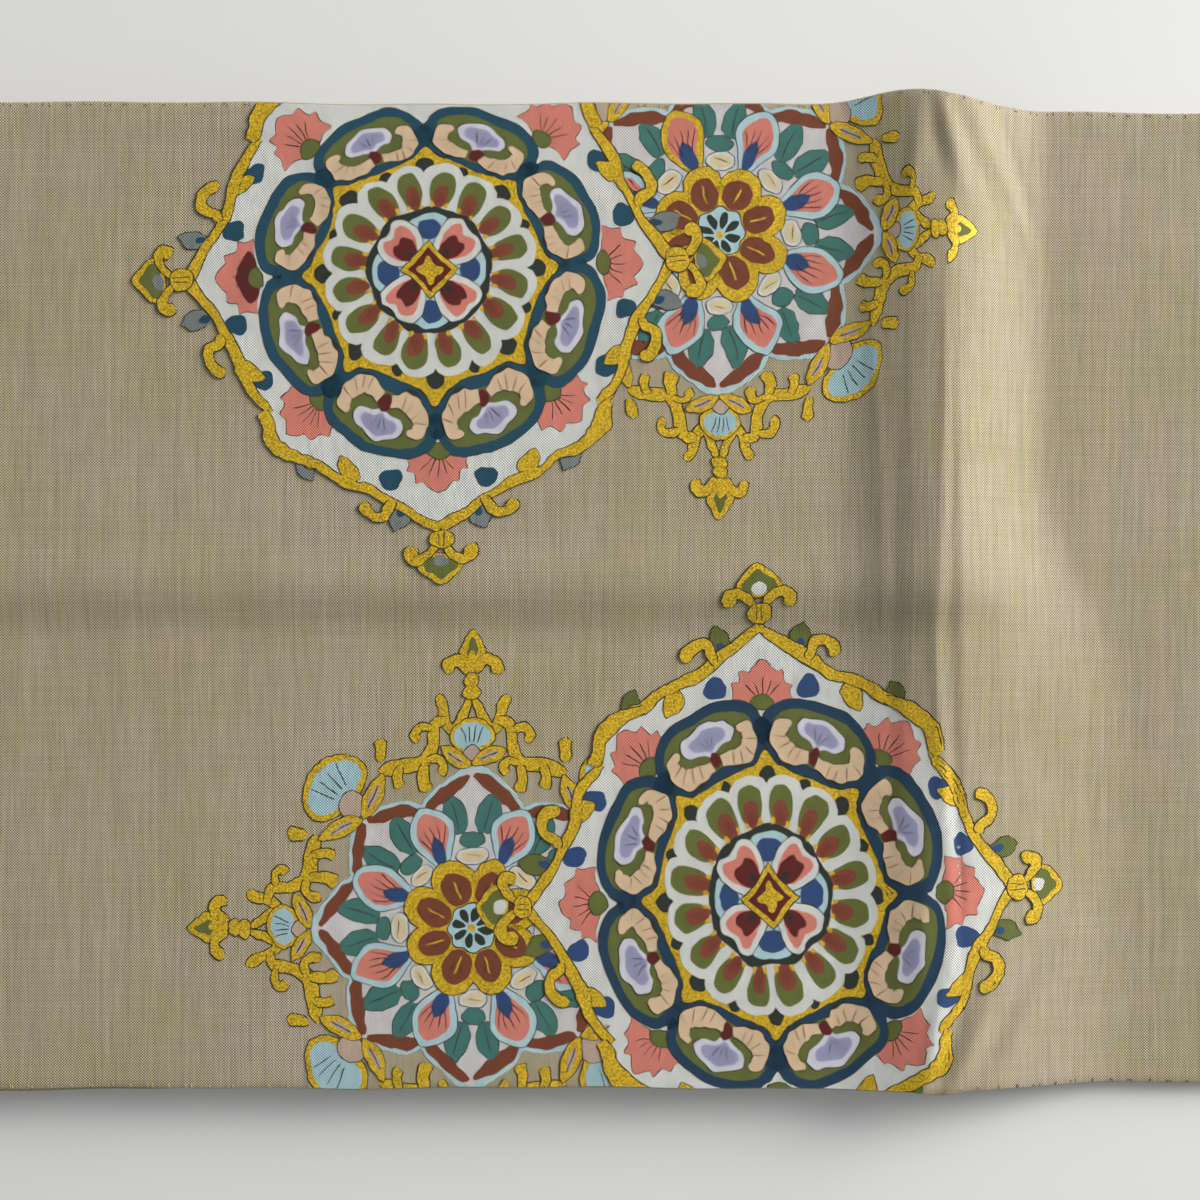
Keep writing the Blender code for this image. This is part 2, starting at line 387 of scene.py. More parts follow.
class Finish:
    """A Principled material under construction."""

    def __init__(self, name, **constants):
        self.material = bpy.data.materials.new(name)
        self.material.use_nodes = True
        self.tree = self.material.node_tree
        self.shader = self.tree.nodes["Principled BSDF"]
        for key, value in constants.items():
            self.shader.inputs[key.replace("_", " ")].default_value = value

    def node(self, kind, settings=(), values=(), output=0):
        """Any other node: its settings first, then the values or links of its sockets."""
        node = self.tree.nodes.new(kind)
        for key, value in dict(settings).items():
            setattr(node, key, value)
        for key, value in dict(values).items():
            plug(self.tree, node.inputs[key], value)
        return Term(self.tree, node.outputs[output])

    def set(self, **values):
        for key, value in values.items():
            plug(self.tree, self.shader.inputs[key.replace("_", " ")], value)

    def mix(self, share, first, second):
        """A colour mix of two colours or links."""
        values = {0: share, 6: first, 7: second}
        return self.node("ShaderNodeMix", {"data_type": "RGBA"}, values, output=2)

    def shade(self, colour, factor):
        """A colour times a number."""
        return self.node("ShaderNodeVectorMath", {"operation": "SCALE"}, {0: colour, "Scale": factor})

    def noise(self, u, v, scale_u, scale_v, detail, offset=0.0):
        """Noise stretched along the cloth: cells of scale_u by scale_v metres."""
        place = {"X": u * (1 / scale_u), "Y": v * (1 / scale_v), "Z": offset}
        place = self.node("ShaderNodeCombineXYZ", (), place)
        values = {"Vector": place, "Scale": 1.0, "Detail": detail, "Roughness": 0.55}
        return self.node("ShaderNodeTexNoise", (), values)

    def solid_noise(self, scale, detail):
        """Even noise in the piece's own space."""
        place = self.node("ShaderNodeTexCoord", (), (), output=3)
        values = {"Scale": scale, "Detail": detail, "Vector": place}
        return self.node("ShaderNodeTexNoise", (), values)

    def cloth_coordinates(self):
        """u and v in metres along and across the cloth."""
        place = self.node("ShaderNodeUVMap", {"uv_map": "cloth"})
        return tuple(self.node("ShaderNodeSeparateXYZ", (), {0: place}, output=axis) for axis in (0, 1))

    def weave(self, u, v):
        """Plain weave, 0 to 1: (sin u sin v + 1) / 2 over the thread pitch."""
        turn = 2 * math.pi / WEAVE_PITCH
        return (u * turn).sine() * (v * turn).sine() * 0.5 + 0.5

    def thread(self):
        """The dye that the mesh holds."""
        return self.node("ShaderNodeVertexColor", {"layer_name": "thread"})

    def bump(self, height, distance, strength):
        values = {"Strength": strength, "Distance": distance, "Height": height}
        self.set(Normal=self.node("ShaderNodeBump", (), values))


def ground_silk():
    """Olive and mauve silk in short weft streaks, with slubs across the obi and a fine weave."""
    finish = Finish(
        "ground silk", Roughness=0.74, Sheen_Weight=0.15, Sheen_Roughness=0.5, Specular_IOR_Level=0.3
    )
    dyes = bpy.context.scene.obi_dyes
    grounds = (dyes.olive_ground, dyes.mauve_ground, dyes.citron_slub)
    olive, mauve, citron = (tuple(dye) + (1.0,) for dye in grounds)
    u, v = finish.cloth_coordinates()
    broad = finish.noise(u, v, 0.060, 0.050, 2.0, 3.1)
    streak = finish.noise(u, v, 0.0042, 0.020, 3.0)
    slub = finish.noise(u, v, 0.0016, 0.075, 2.0, 7.7)
    fine = finish.noise(u, v, 0.00045, 0.012, 1.0, 1.3)
    pick = finish.noise(u, v, 0.030, 0.0007, 1.0, 5.2)
    fleck = finish.noise(u, v, 0.0026, 0.0085, 2.0, 9.4)
    weave = finish.weave(u, v)
    share = (streak.swing(1.6) + broad.swing(2.6) + 0.5).clamped()
    flecked = ((fleck - 0.54) * 6.0).clamped() * (1.0 - share * 0.5) * 0.55
    colour = finish.mix(flecked, finish.mix(share, olive, mauve), citron)
    tone = 1.0 + slub.swing(0.32) + fine.swing(0.55) + pick.swing(0.24) + weave.swing(2.3)
    finish.set(Base_Color=finish.shade(colour, tone))
    finish.bump(weave * 0.9 + fine * 0.7 + slub * 1.4, 0.00024, 0.7)
    return finish.material


def figure_silk():
    """Dyed wefts and gold strip with painted glints: the mesh holds each shape's colour, and marks which are
    gold.
    """
    finish = Finish("figure silk", Specular_IOR_Level=0.35)
    u, v = finish.cloth_coordinates()
    gold = finish.node("ShaderNodeAttribute", {"attribute_name": "gold"}, output=2)
    weave = finish.weave(u, v)
    fine = finish.noise(u, v, 0.0006, 0.004, 1.0, 2.4)
    worn = finish.noise(u, v, 0.004, 0.009, 2.0, 6.1)
    glint = finish.noise(u, v, 0.00062, 0.00062, 1.0, 4.8)
    plain = 0.97 + weave.swing(1.9) + fine.swing(0.50) + worn.swing(0.30)
    # Painted glints: the glint noise makes the gold's base colour lighter and darker in fine specks, and the
    # worn noise adds uneven wear.
    gold_tone_and_painted_glints = -0.08 + glint * 2.1 + weave.swing(0.35) + worn.swing(0.5)
    finish.set(
        Base_Color=finish.shade(finish.thread(), plain + gold * (gold_tone_and_painted_glints - plain)),
        Metallic=gold * 0.30,
        Roughness=0.78 - gold * 0.26 + glint.swing(1.0) * gold * 0.3,
    )
    finish.bump(weave * 0.7 + fine * 0.4 + gold * glint * 1.6, 0.00016, 0.6)
    return finish.material


def sewing_thread():
    """Twisted silk, coloured by its mesh."""
    finish = Finish("sewing thread", Roughness=0.6, Sheen_Weight=0.2)
    u, v = finish.cloth_coordinates()
    twist = finish.solid_noise(2600.0, 1.0)
    finish.set(Base_Color=finish.shade(finish.thread(), 0.8 + twist * 0.4))
    finish.bump(((u + v) * 9000.0).sine() * 0.5 + twist, 0.0001, 0.5)
    return finish.material


def floor_paint():
    """A plain pale table top with the faintest mottling."""
    finish = Finish("pale table", Roughness=0.55)
    mottle = finish.solid_noise(9.0, 3.0)
    finish.set(Base_Color=finish.mix(mottle, (0.80, 0.80, 0.795, 1.0), (0.84, 0.84, 0.835, 1.0)))
    return finish.material


# Drawing with threads. Shapes are worked out in millimetres about a figure's centre.


def spline(points, steps, closed=False):
    """A smooth curve through the points: Catmull-Rom cubics, steps to each span."""
    points = np.asarray(points, float)
    if closed:
        padded = np.concatenate([points[-1:], points, points[:2]])
    else:
        before, after = 2 * points[:1] - points[1:2], 2 * points[-1:] - points[-2:-1]
        padded = np.concatenate([before, points, after])
    t = (np.arange(steps) / steps)[None, :, None]
    a, b, c, d = (padded[k : len(padded) - 3 + k][:, None] for k in range(4))
    square, cube = 2 * a - 5 * b + 4 * c - d, 3 * b - a - 3 * c + d
    curve = (0.5 * (2 * b + (c - a) * t + square * t**2 + cube * t**3)).reshape(-1, 2)
    return curve if closed else np.concatenate([curve, points[-1:]])


def polar(radius, angle):
    """Points at radius and angle in radians, either of them one number or an array."""
    return np.stack([radius * np.cos(angle), radius * np.sin(angle)], -1)


def steps_round(count):
    """Equal steps of a turn from 0, in radians."""
    return 2 * math.pi * np.arange(count) / count


def half_steps(count):
    """Equal steps of a turn from half a step, in radians."""
    return 2 * math.pi * (np.arange(count) + 0.5) / count


PETAL_POINTS = 40


def petal(length, width, skew=0.0, tip=0.0, foot=0.0, scallops=0, depth=0.0):
    """A closed outline about its own centre, pointing along +x.

    x = length cos t and y = width sin t (1 + skew cos t), where y is also multiplied by |sin t| to
    the power tip at the outer end and foot at the inner one, and the radius by 1 + depth cos(scallops t).
    """
    t = half_steps(PETAL_POINTS)
    share = (1 + np.cos(t)) / 2
    sharp = np.abs(np.sin(t)) ** (tip * share + foot * (1 - share))
    swell = 1 + depth * np.cos(scallops * t)
    y = width * np.sin(t) * (1 + skew * np.cos(t)) * sharp
    return np.stack([length * np.cos(t) * swell, y * swell], -1)


def placed(shape, radius, bearing, turn=0.0, shift=0.0):
    """The shape turned by turn, moved out to radius and sideways by shift, then swung to its bearing."""
    return rotated(rotated(shape, turn) + (radius, shift), bearing)


def rotated(shape, degrees):
    """The shape turned anticlockwise about the middle."""
    cos, sin = math.cos(math.radians(degrees)), math.sin(math.radians(degrees))
    x, y = shape[:, 0], shape[:, 1]
    return np.stack([x * cos - y * sin, x * sin + y * cos], -1)


def straight(start, end, count=5):
    """Evenly spaced points from start to end, for a short straight thread."""
    return np.linspace(start, end, count)


def round_end(share, start, least):
    """1 up to start, then sqrt(1 - t^2) with t from 0 to 1 at the path's end, squared no less than least."""
    knob = np.clip((share - start) / (1 - start), 0, 1)
    return np.sqrt(np.clip(1 - knob**2, least, 1))


def side_normals(path, closed):
    """Unit normals to the left of a path."""
    if closed:
        run = np.roll(path, -1, 0) - np.roll(path, 1, 0)
    else:
        run = np.gradient(path, axis=0)
    run = run / np.maximum(np.linalg.norm(run, axis=1, keepdims=True), 1e-9)
    return np.stack([-run[:, 1], run[:, 0]], -1)


class Figure:
    """Patches of thread that lie on the obi's face, each on its own level, joined into one mesh."""

    # The height between levels in metres; then, in millimetres, a patch's longest step, how far the
    # dark thread stands out round a shape and round a vine, and how far the core's growth takes to rise.
    LEVEL = 0.000022
    CELL = 1.4
    DARK_EDGE = 0.3
    VINE_EDGE = 0.36
    CORE_BLEND = 14.0

    def __init__(self, centre, turn, seed, stretch):
        self.centre = np.array(centre) * MM
        self.turn = turn
        self.stretch = stretch
        self.core = None
        self.seed = seed
        self.draw = np.random.default_rng(seed)
        dyes = bpy.context.scene.obi_dyes
        self.dyes = {name: np.array(getattr(dyes, name.replace(" ", "_"))) for name in DYES}
        self.points, self.levels, self.colours, self.gold = [], [], [], []
        self.quads, self.fans = [], []
        self.count = 0

    def patch(self, rows, thread, level, closed=False, pole=False):
        """Adds a grid of points, rows by columns. With a pole, the first row is a single point."""
        if self.core:
            rows = self.drawn_out(rows)
        columns = rows.shape[1]
        first = self.count
        if pole:
            column = np.arange(columns)
            near, far = first + 1 + column, first + 1 + (column + 1) % columns
            self.fans.append(np.stack([np.full(columns, first), near, far], -1))
            self.points.append(rows[0, :1])
            rows = rows[1:]
            first += 1
        self.quads.append(grid_faces(len(rows), columns, closed, first))
        self.points.append(rows.reshape(-1, 2))
        total = first + len(rows) * columns - self.count
        self.colours.append(np.tile(self.dyes[thread], (total, 1)))
        self.gold.append(np.full(total, float(thread in METALLIC)))
        self.levels.append(np.full(total, float(level)))
        self.count += total

    def drawn_out(self, rows):
        """y times 1 + the core's upper or lower growth, which rises from 0 past the core's radius."""
        upper, lower, still = self.core
        share = smooth((np.linalg.norm(rows, axis=-1) - still) / self.CORE_BLEND)
        growth = np.where(rows[..., 1] > 0, upper, lower) * share
        return np.stack([rows[..., 0], rows[..., 1] * (1 + growth)], -1)

    def annulus(self, inner, outer, thread, level, pole=False):
        """Rings from the inner outline, or one point, out to the outer outline."""
        reach = np.linalg.norm(outer - inner, axis=1).max()
        rings = max(2, math.ceil(reach / self.CELL) + 1)
        share = np.linspace(0, 1, rings)[:, None, None]
        self.patch(inner + share * (outer - inner), thread, level, True, pole)

    def fill(self, outline, thread, level, centre=None):
        """Rings from the outline's middle out to it."""
        self.annulus(outline.mean(0) if centre is None else centre, outline, thread, level, True)

    def stroke(self, path, half, thread, level, closed=False):
        """A band along a path, half wide on each side; half is a number or one for each point."""
        half = np.broadcast_to(half, len(path))[:, None]
        normal = side_normals(path, closed)
        across = max(2, math.ceil(2 * half.max() / self.CELL) + 1)
        share = np.linspace(-1, 1, across)[:, None, None]
        self.patch(path[None] + share * (normal * half)[None], thread, level, closed)

    def line(self, path, level, half, thread="ink"):
        """A thin thread along a path."""
        self.stroke(path, half, thread, level)

    def vine(self, path, half, level, taper):
        """Gold with a dark thread round it: it starts taper[0] as wide and ends in a round knob."""
        curve = spline(path, 6)
        share = np.linspace(0, 1, len(curve))
        width = half * (taper[0] + (taper[1] - taper[0]) * share)
        width = width * round_end(share, 0.86, 0.02)
        width = width * (0.55 + 0.45 * np.sqrt(np.clip(share / 0.1, 0, 1)))
        self.stroke(curve, width + self.VINE_EDGE, "ink", level)
        self.stroke(curve, width, "gold", level + 0.4)

    def shape(self, outline, level, thread, inner=None, inset=0.0):
        """A dark edge, a fill of one thread and, set in by inset mm, a fill of another."""
        middle = outline.mean(0)
        away = outline - middle
        reach = np.linalg.norm(away, axis=1)[:, None]
        self.fill(middle + away * (1 + self.DARK_EDGE / reach), "ink", level)
        self.fill(outline, thread, level + 1)
        if inner:
            self.fill(middle + away * np.clip(1 - inset / reach, 0.05, 1), inner, level + 2)

    def wobble(self, points):
        """Hand-woven unevenness: each point wanders by a broad ripple and a fine one."""
        x, y = points[:, 0], points[:, 1]
        shifts = [
            0.85 * ripple(x, y, 17.0, self.seed + step) + 0.30 * ripple(x, y, 3.1, self.seed + step + 1)
            for step in (0, 2)
        ]
        return points + np.stack(shifts, -1)

    def build(self, name, material, base_level, hidden=None):
        """Lays the patches on the face, cut off at the obi's long edges, and joins them.

        Outside the middle the figure is drawn out or in: x and y are multiplied by 1 + growth s(r),
        where s rises smoothly from 0 to 1 between the two radii of stretch. Faces that lie wholly
        where hidden(x, y) is true, under another figure, are left out.
        """
        points = np.concatenate(self.points)
        growth_x, growth_y, near, far = self.stretch
        share = smooth((np.linalg.norm(points, axis=1) - near) / (far - near))[:, None]
        points = points * (1 + share * np.array((growth_x, growth_y)))
        flat = rotated(self.wobble(points), self.turn) * MM + self.centre
        x, y = flat[:, 0], flat[:, 1]
        high = edge_at(x, 1) - 0.0001
        low = -edge_at(x, -1) + 0.0001
        beyond = (y > high).astype(int) - (y < low).astype(int)
        y = np.clip(y, low, high)
        lift = (base_level + np.concatenate(self.levels)) * self.LEVEL
        z = face_height(x, y) + lift * secant(x, y)
        under = hidden(x, y) if hidden else np.zeros(len(x), bool)
        faces = []
        for group in (np.concatenate(self.quads), np.concatenate(self.fans)):
            kept = (np.abs(beyond[group].sum(1)) < group.shape[1]) & ~under[group].all(1)
            faces += facing_up(group[kept], x, y).tolist()
        obj = new_mesh_object(name, np.stack([x, y, z], -1), faces, material, np.stack([x, y], -1))
        thread_attributes(obj.data, np.concatenate(self.colours), np.concatenate(self.gold))
        return obj


def facing_up(faces, x, y):
    """The faces, turned round where the cross product of their diagonals points down."""
    wide_x, wide_y = x[faces[:, 2]] - x[faces[:, 0]], y[faces[:, 2]] - y[faces[:, 0]]
    tall_x, tall_y = x[faces[:, -1]] - x[faces[:, 1]], y[faces[:, -1]] - y[faces[:, 1]]
    down = wide_x * tall_y - wide_y * tall_x < 0
    return np.where(down[:, None], faces[:, ::-1], faces)


def thread_attributes(mesh, colours, gold):
    """Each point's dye as the colour attribute thread, and 1 on gold strip as the attribute gold."""
    rgba = np.concatenate([colours, np.ones((len(colours), 1))], 1).astype(np.float32)
    mesh.color_attributes.new("thread", "FLOAT_COLOR", "POINT").data.foreach_set("color", rgba.ravel())
    mesh.attributes.new("gold", "FLOAT", "POINT").data.foreach_set("value", gold.astype(np.float32))


# The round medallion, in millimetres: x points outward where a shape is placed on a bearing.

# The ogee frame from a side tip to an upright tip: bearing from the side tip in degrees, and radius.
SIDE_BAND = ((0.0, 76.0), (6.0, 71.5), (13.7, 67.3), (22.7, 65.9), (30.0, 67.6), (36.0, 67.6), (40.5, 67.2))
MIDDLE_BAND = ((38.8, 69.6), (41.2, 70.2), (45.0, 73.0), (49.0, 73.6), (53.0, 73.0), (58.4, 71.4))
UPPER_BAND = (
    (55.2, 73.8), (58.4, 71.6), (63.4, 72.4), (68.4, 72.7), (73.0, 72.8), (79.0, 75.6), (84.4, 79.8),
    (90.0, 84.6),
)
QUARTERS = ((1, 1), (-1, 1), (-1, -1), (1, -1))

# What grows beside a side tip and an upright tip: along the axis and out from it, for one side.
TIPS = {
    "side": {
        "reach": 77.4, "foot": 54.6, "length": 1.12, "width": 1.08, "spur": (57.4, 29.6),
        "spots": ((60.6, 14.6), (53.4, 32.4)), "leaf": (73.4, 12.8), "outer_leaf": None,
        "hook": ((66.0, 18.0), (66.2, 20.4), (69.6, 22.6), (70.0, 26.6), (67.4, 29.6), (64.4, 30.0)),
    },
    "upright": {
        "reach": 89.0, "foot": None, "length": 1.25, "width": 0.96, "spur": (61.5, 28.3),
        "spots": ((65.6, 14.8),), "leaf": (80.6, 12.4), "outer_leaf": (62.5, 41.5),
        "hook": ((73.4, 14.4), (76.4, 15.6), (79.6, 17.0), (80.0, 20.2), (77.6, 23.0), (74.6, 23.4)),
    },
}

# Halves of outlines on the side y >= 0, and paths, each pointing along +x.
BLOOM = (
    (0.0, 0.0), (-0.6, 3.4), (0.3, 7.0), (-0.2, 10.6), (2.7, 9.4), (4.8, 9.9), (5.3, 7.4),
    (8.3, 6.6), (7.8, 4.1), (9.2, 2.6), (10.6, 0.0),
)
LOBE_FAN = ((-4.6, 0.0), (-2.4, 3.2), (-1.5, 6.8), (1.2, 8.1), (3.6, 6.4), (4.2, 4.0), (5.7, 0.0))
CURL = ((-5.6, 2.0), (-6.0, 6.2), (-4.8, 10.6), (-1.6, 13.0), (2.0, 11.8), (2.2, 9.2))
HEART = ((-6.4, 0.0), (-4.2, 3.4), (0.6, 5.9), (4.6, 6.0), (6.6, 3.6), (5.8, 0.0))
FINIAL_CURL = ((2.4, 1.4), (5.6, 4.2), (7.0, 7.4), (5.2, 9.6), (2.4, 8.8))
FINIAL_ARCH = ((5.4, 5.0), (6.6, 6.9), (10.2, 6.6), (12.6, 4.0), (15.0, 0.0))
LOBE_RADIUS = 45.2
ROUND_TURN = 2.3


def around(count, start=0.0):
    """Evenly spaced bearings from start, in degrees."""
    return [start + 360.0 * step / count for step in range(count)]


def outline_of(half, steps):
    """A smooth closed outline from its half on the side y >= 0, mirrored."""
    half = np.array(half, float)
    back = half[::-1] * (1, -1)
    back = back[1 if half[-1, 1] == 0 else 0 : len(back) - (half[0, 1] == 0)]
    return spline(np.concatenate([half, back]), steps, closed=True)


def squarish(length, width, power, count=64):
    """A superellipse: |x / length|^power + |y / width|^power = 1."""
    turn = half_steps(count)
    x, y = (np.sign(way) * np.abs(way) ** (2 / power) for way in (np.cos(turn), np.sin(turn)))
    return np.stack([length * x, width * y], -1)


def band_path(table, quarter):
    """A stretch of the frame in one of the four quarters."""
    curve = spline(table, 6)
    return polar(curve[:, 1], np.radians(curve[:, 0])) * QUARTERS[quarter]


def frame_path():
    """The outer edge of the white ground: the side, middle and upper bands of all quarters, joined."""
    table = SIDE_BAND[:-1] + MIDDLE_BAND[1:-1] + UPPER_BAND[1:]
    runs = [band_path(table, quarter) for quarter in range(4)]
    return np.concatenate([run[:0:-1] if quarter % 2 else run[:-1] for quarter, run in enumerate(runs)])


def lobe_point(shape, bearing):
    """Bends a shape round the middle: x is added to the radius and y runs along the circle."""
    return polar(LOBE_RADIUS + shape[:, 0], np.radians(bearing) + shape[:, 1] / LOBE_RADIUS)


def draw_lobe(figure, bearing, border):
    """One of the eight bordered lobes: leaf ground, a lavender palmette and two beige curls."""

    def lay(shape, thread, level, centre=None):
        figure.fill(lobe_point(shape, bearing), thread, level, centre)

    middle = lobe_point(np.zeros((1, 2)), bearing)[0]
    for side in (1, -1):
        lay(petal(3.6, 2.9) + (-0.2, 17.7 * side), border, 7)
    lay(squarish(10.5, 17.9, 2.55), "ink", 6, middle)
    lay(squarish(10.3, 17.7, 2.55), border, 7, middle)
    lay(squarish(7.5, 14.9, 2.7), "leaf", 8, middle)
    for side in (1, -1):
        lay((petal(2.4, 4.6, skew=0.2) + (-6.6, 8.2)) * (1, side), "black green", 8.6)
    fan = (outline_of(LOBE_FAN, 5) + (0.8, 0.0)) * figure.draw.uniform(0.93, 1.05)
    lay(fan * 1.05, "ink", 9)
    lay(fan, "lilac white", 10)
    lay((fan - (0.8, 0)) * (0.66, 0.72) + (1.0, 0), "lavender", 11)
    for step in (-1, 0, 1):
        vein = straight((-0.6, 0.9 * step), (2.4, 2.4 * step))
        figure.line(lobe_point(vein, bearing), 12, 0.14)
    lay(squarish(2.4, 2.3, 1.7, 24) + (-4.7, figure.draw.uniform(-0.6, 0.6)), "maroon", 12)
    for side in (1, -1):
        draw_curl(figure, bearing, side)


def draw_curl(figure, bearing, side):
    """A fat beige curl with a scalloped outline and short umber dashes across it."""
    bent = np.array(CURL) * (1, side) + figure.draw.uniform(-0.35, 0.35, (len(CURL), 2))
    curve = spline(bent, 7)
    share = np.linspace(0, 1, len(curve))
    half = 1.3 + 1.25 * np.sin(math.pi * np.clip(share * 1.15, 0, 1)) ** 0.8 + 0.22 * np.cos(share * 33)
    half = half * round_end(share, 0.84, 0.03)
    figure.stroke(lobe_point(curve, bearing), half + 0.28, "ink", 13)
    figure.stroke(lobe_point(curve, bearing), half, "beige", 14)
    normal = side_normals(curve, False)
    for place in (0.20, 0.33, 0.46, 0.60):
        at = int(place * (len(curve) - 1))
        reach = half[at] * figure.draw.uniform(0.5, 0.95)
        slant = (curve[at] - curve[at - 1]) * 0.9
        near, far = -normal[at] * half[at] * 0.9, normal[at] * reach * 0.6 + slant
        figure.line(lobe_point(straight(curve[at] + near, curve[at] + far, 4), bearing), 15, 0.15, "umber")


def draw_heart(figure):
    """The medallion's middle: four hearts on four cups, round a gold lozenge on a dark disc."""
    ring = steps_round(96)
    figure.fill(polar(19.6 + 0.4 * np.sin(ring * 9), ring), "black green", 9)
    for bearing in around(4):
        figure.fill(placed(squarish(5.9, 7.2, 2.3), 11.9, bearing), "powder", 10)
        figure.fill(placed(squarish(3.4, 4.0, 2.2), 12.7, bearing), "cobalt", 11)
    heart = outline_of(HEART, 5) * 1.12
    for bearing in around(4, 45.0):
        bearing += figure.draw.uniform(-2, 2)
        figure.shape(placed(heart, 10.6, bearing), 12, "white", "coral", 1.9)
        figure.fill(placed(heart * (0.62, 0.46), 8.9, bearing), "maroon", 15)
        figure.fill(placed(petal(1.6, 0.8, skew=0.3), 7.6, bearing), "ink", 15.5)
    lozenge = squarish(8.9, 8.9, 0.95)
    lozenge = lozenge[np.argsort(np.arctan2(lozenge[:, 1], lozenge[:, 0]))]
    for level, (size, thread) in enumerate(((1.05, "ink"), (1.0, "gold"), (0.76, "maroon")), 16):
        figure.fill(lozenge * size, thread, level)
    ring = half_steps(64)
    figure.fill(polar(2.5 + 1.8 * np.abs(np.cos(2 * ring)) ** 3, ring), "gold", 19)


def draw_petal_ring(figure, border):
    """Sixteen leaf-green petals with rust hearts on a white scalloped plate.

    The plate lies in the gold ring with its eight points.
    """
    ring = steps_round(256)
    still = 0 * ring
    point = 4.2 * np.abs(np.cos(4 * ring)) ** 24
    for inner, outer, thread, level in (
        (38.0, 47.5 + still, border, 1.2),
        (29.0, 36.3 + point, "ink", 1.6),
        (29.0, 35.9 + point, "gold", 2),
    ):
        figure.annulus(polar(inner + still, ring), polar(outer, ring), thread, level)
    for bearing in around(16):
        size = 1.0 if bearing % 45 == 0 else 0.62
        patch = squarish(2.7 * size, 2.9 * size, 1.8, 24)
        bearing += figure.draw.uniform(-1, 1)
        figure.fill(placed(patch, 31.0 + 2.4 * size, bearing), "black green", 4)
    scallop = 30.4 + 3.2 * np.abs(np.sin(8 * ring)) ** 0.5 + 0.3 * np.sin(5 * ring + 1)
    figure.annulus(polar(17.5 + still, ring), polar(scallop, ring), "white", 5)
    for bearing in around(16, 11.25):
        bearing += figure.draw.uniform(-1.4, 1.4)
        size = figure.draw.uniform(0.94, 1.06)
        leaf = squarish(5.7 * size, 3.8 * size, 2.3, 32)
        leaf[:, 1] *= 1 + 0.018 * leaf[:, 0]
        figure.fill(placed(leaf, 25.4, bearing), "leaf", 6)
        figure.fill(placed(petal(3.9 * size, 2.3 * size, skew=0.05), 23.1, bearing), "rust", 7)
        for step in (-1, 0, 1):
            vein = straight((20.8, 0.75 * step), (25.4 - abs(step), 0.8 * step), 4)
            figure.line(rotated(vein, bearing), 8, 0.13, "maroon" if step else "ink")
        for side in (-1, 1):
            figure.fill(placed(petal(0.95, 0.6), 20.4, bearing, shift=2.1 * side), "gold", 10)


def draw_finial(figure, bearing, reach, bud):
    """A gold knop on the frame's tip, two curls and a green arch edged with gold."""
    arch = outline_of(FINIAL_ARCH, 4)
    figure.shape(placed(arch, reach, bearing), 6, "gold", "leaf", 1.7)
    figure.fill(placed(petal(1.9, 2.3), reach + 7.6, bearing), bud, 9)
    for side in (1, -1):
        figure.vine(placed(np.array(FINIAL_CURL) * (1, side), reach, bearing), 2.2, 9, (0.5, 1.0))
    figure.shape(placed(squarish(3.2, 3.9, 2.2), reach, bearing), 11, "gold")
    for shift in (-0.9, 1.0):
        crease = straight((-2.4, shift), (2.3, shift * 0.7))
        figure.line(placed(crease, reach, bearing), 13, 0.14)


def draw_bloom(figure, bearing, foot, length, width, half_dark=False):
    """Half a coral flower with pointed petals, ink veins and a leaf-green cup at its foot."""
    outline = outline_of(BLOOM, 3) * (length, width)
    outline = outline + figure.draw.uniform(-0.2, 0.2, outline.shape)
    figure.shape(placed(outline, foot, bearing), 2, "coral")
    if half_dark:
        dark = squarish(3.4, 7.6, 1.6) * (length, width)
        figure.fill(placed(dark, foot + 2.0, bearing), "maroon", 3.6)
    for step in (-2, -1, 0, 1, 2):
        vein = straight((1.6, 1.0 * step), (6.2 - 0.8 * abs(step), 2.7 * step * width), 6)
        figure.line(placed(vein * (length, 1.0), foot, bearing), 4, 0.16)
    figure.shape(placed(squarish(2.5, 3.3, 1.9, 32), foot - 0.4, bearing), 4.5, "leaf")


def draw_frame(figure):
    """The gold ogee in overlapping leaf-like bands, edged with dark thread."""
    for quarter in range(4):
        for table, half, level in ((SIDE_BAND, 1.5, 6), (UPPER_BAND, 1.65, 6), (MIDDLE_BAND, 2.2, 8)):
            path = band_path(table, quarter)
            share = np.linspace(0, 1, len(path))
            ends = 1.0 - 0.55 * bell(share - (1 if table is SIDE_BAND else 0), 0.06)
            if table is MIDDLE_BAND:
                ends = 0.45 + 0.62 * np.sin(math.pi * np.clip(share, 0.02, 0.98)) ** 0.5
            width = half * ends * (1 + 0.13 * np.sin(share * 11 + quarter) + 0.06 * np.sin(share * 37))
            figure.stroke(path, width + 0.34, "ink", level)
            figure.stroke(path, width, "gold", level + 1)


def draw_tip(figure, axis, side, tip, spot_thread, leaf_thread):
    """What grows on one side of a tip of the frame: a hook, spots, leaves outside it and a spur."""

    def beside(shape, place):
        return rotated(shape + np.array(place) * (1, side), axis)

    figure.vine(rotated(np.array(tip["hook"]) * (1, side), axis), 1.7, 9, (0.75, 1.15))
    for place in tip["spots"]:
        figure.fill(beside(petal(3.5, 3.4, skew=0.2, scallops=3, depth=0.13), place), spot_thread, 3)
    leaf = rotated(petal(5.0, 3.0, skew=-0.1, tip=0.3, foot=0.2, scallops=5, depth=0.05), 18 * side)
    figure.shape(beside(leaf, tip["leaf"]), 2, leaf_thread)
    figure.fill(beside(petal(1.9, 1.2) - (2.2, 0), tip["leaf"]), spot_thread, 4.5)
    if tip["outer_leaf"]:
        outer = rotated(petal(4.2, 2.6, tip=0.3, scallops=5, depth=0.05), -25 * side)
        figure.shape(beside(outer, tip["outer_leaf"]), 2, leaf_thread)
    spur = rotated(petal(4.6, 2.8, skew=-0.35, tip=0.3), 180 - 25 * side)
    figure.shape(beside(spur, tip["spur"]), 5, "gold")


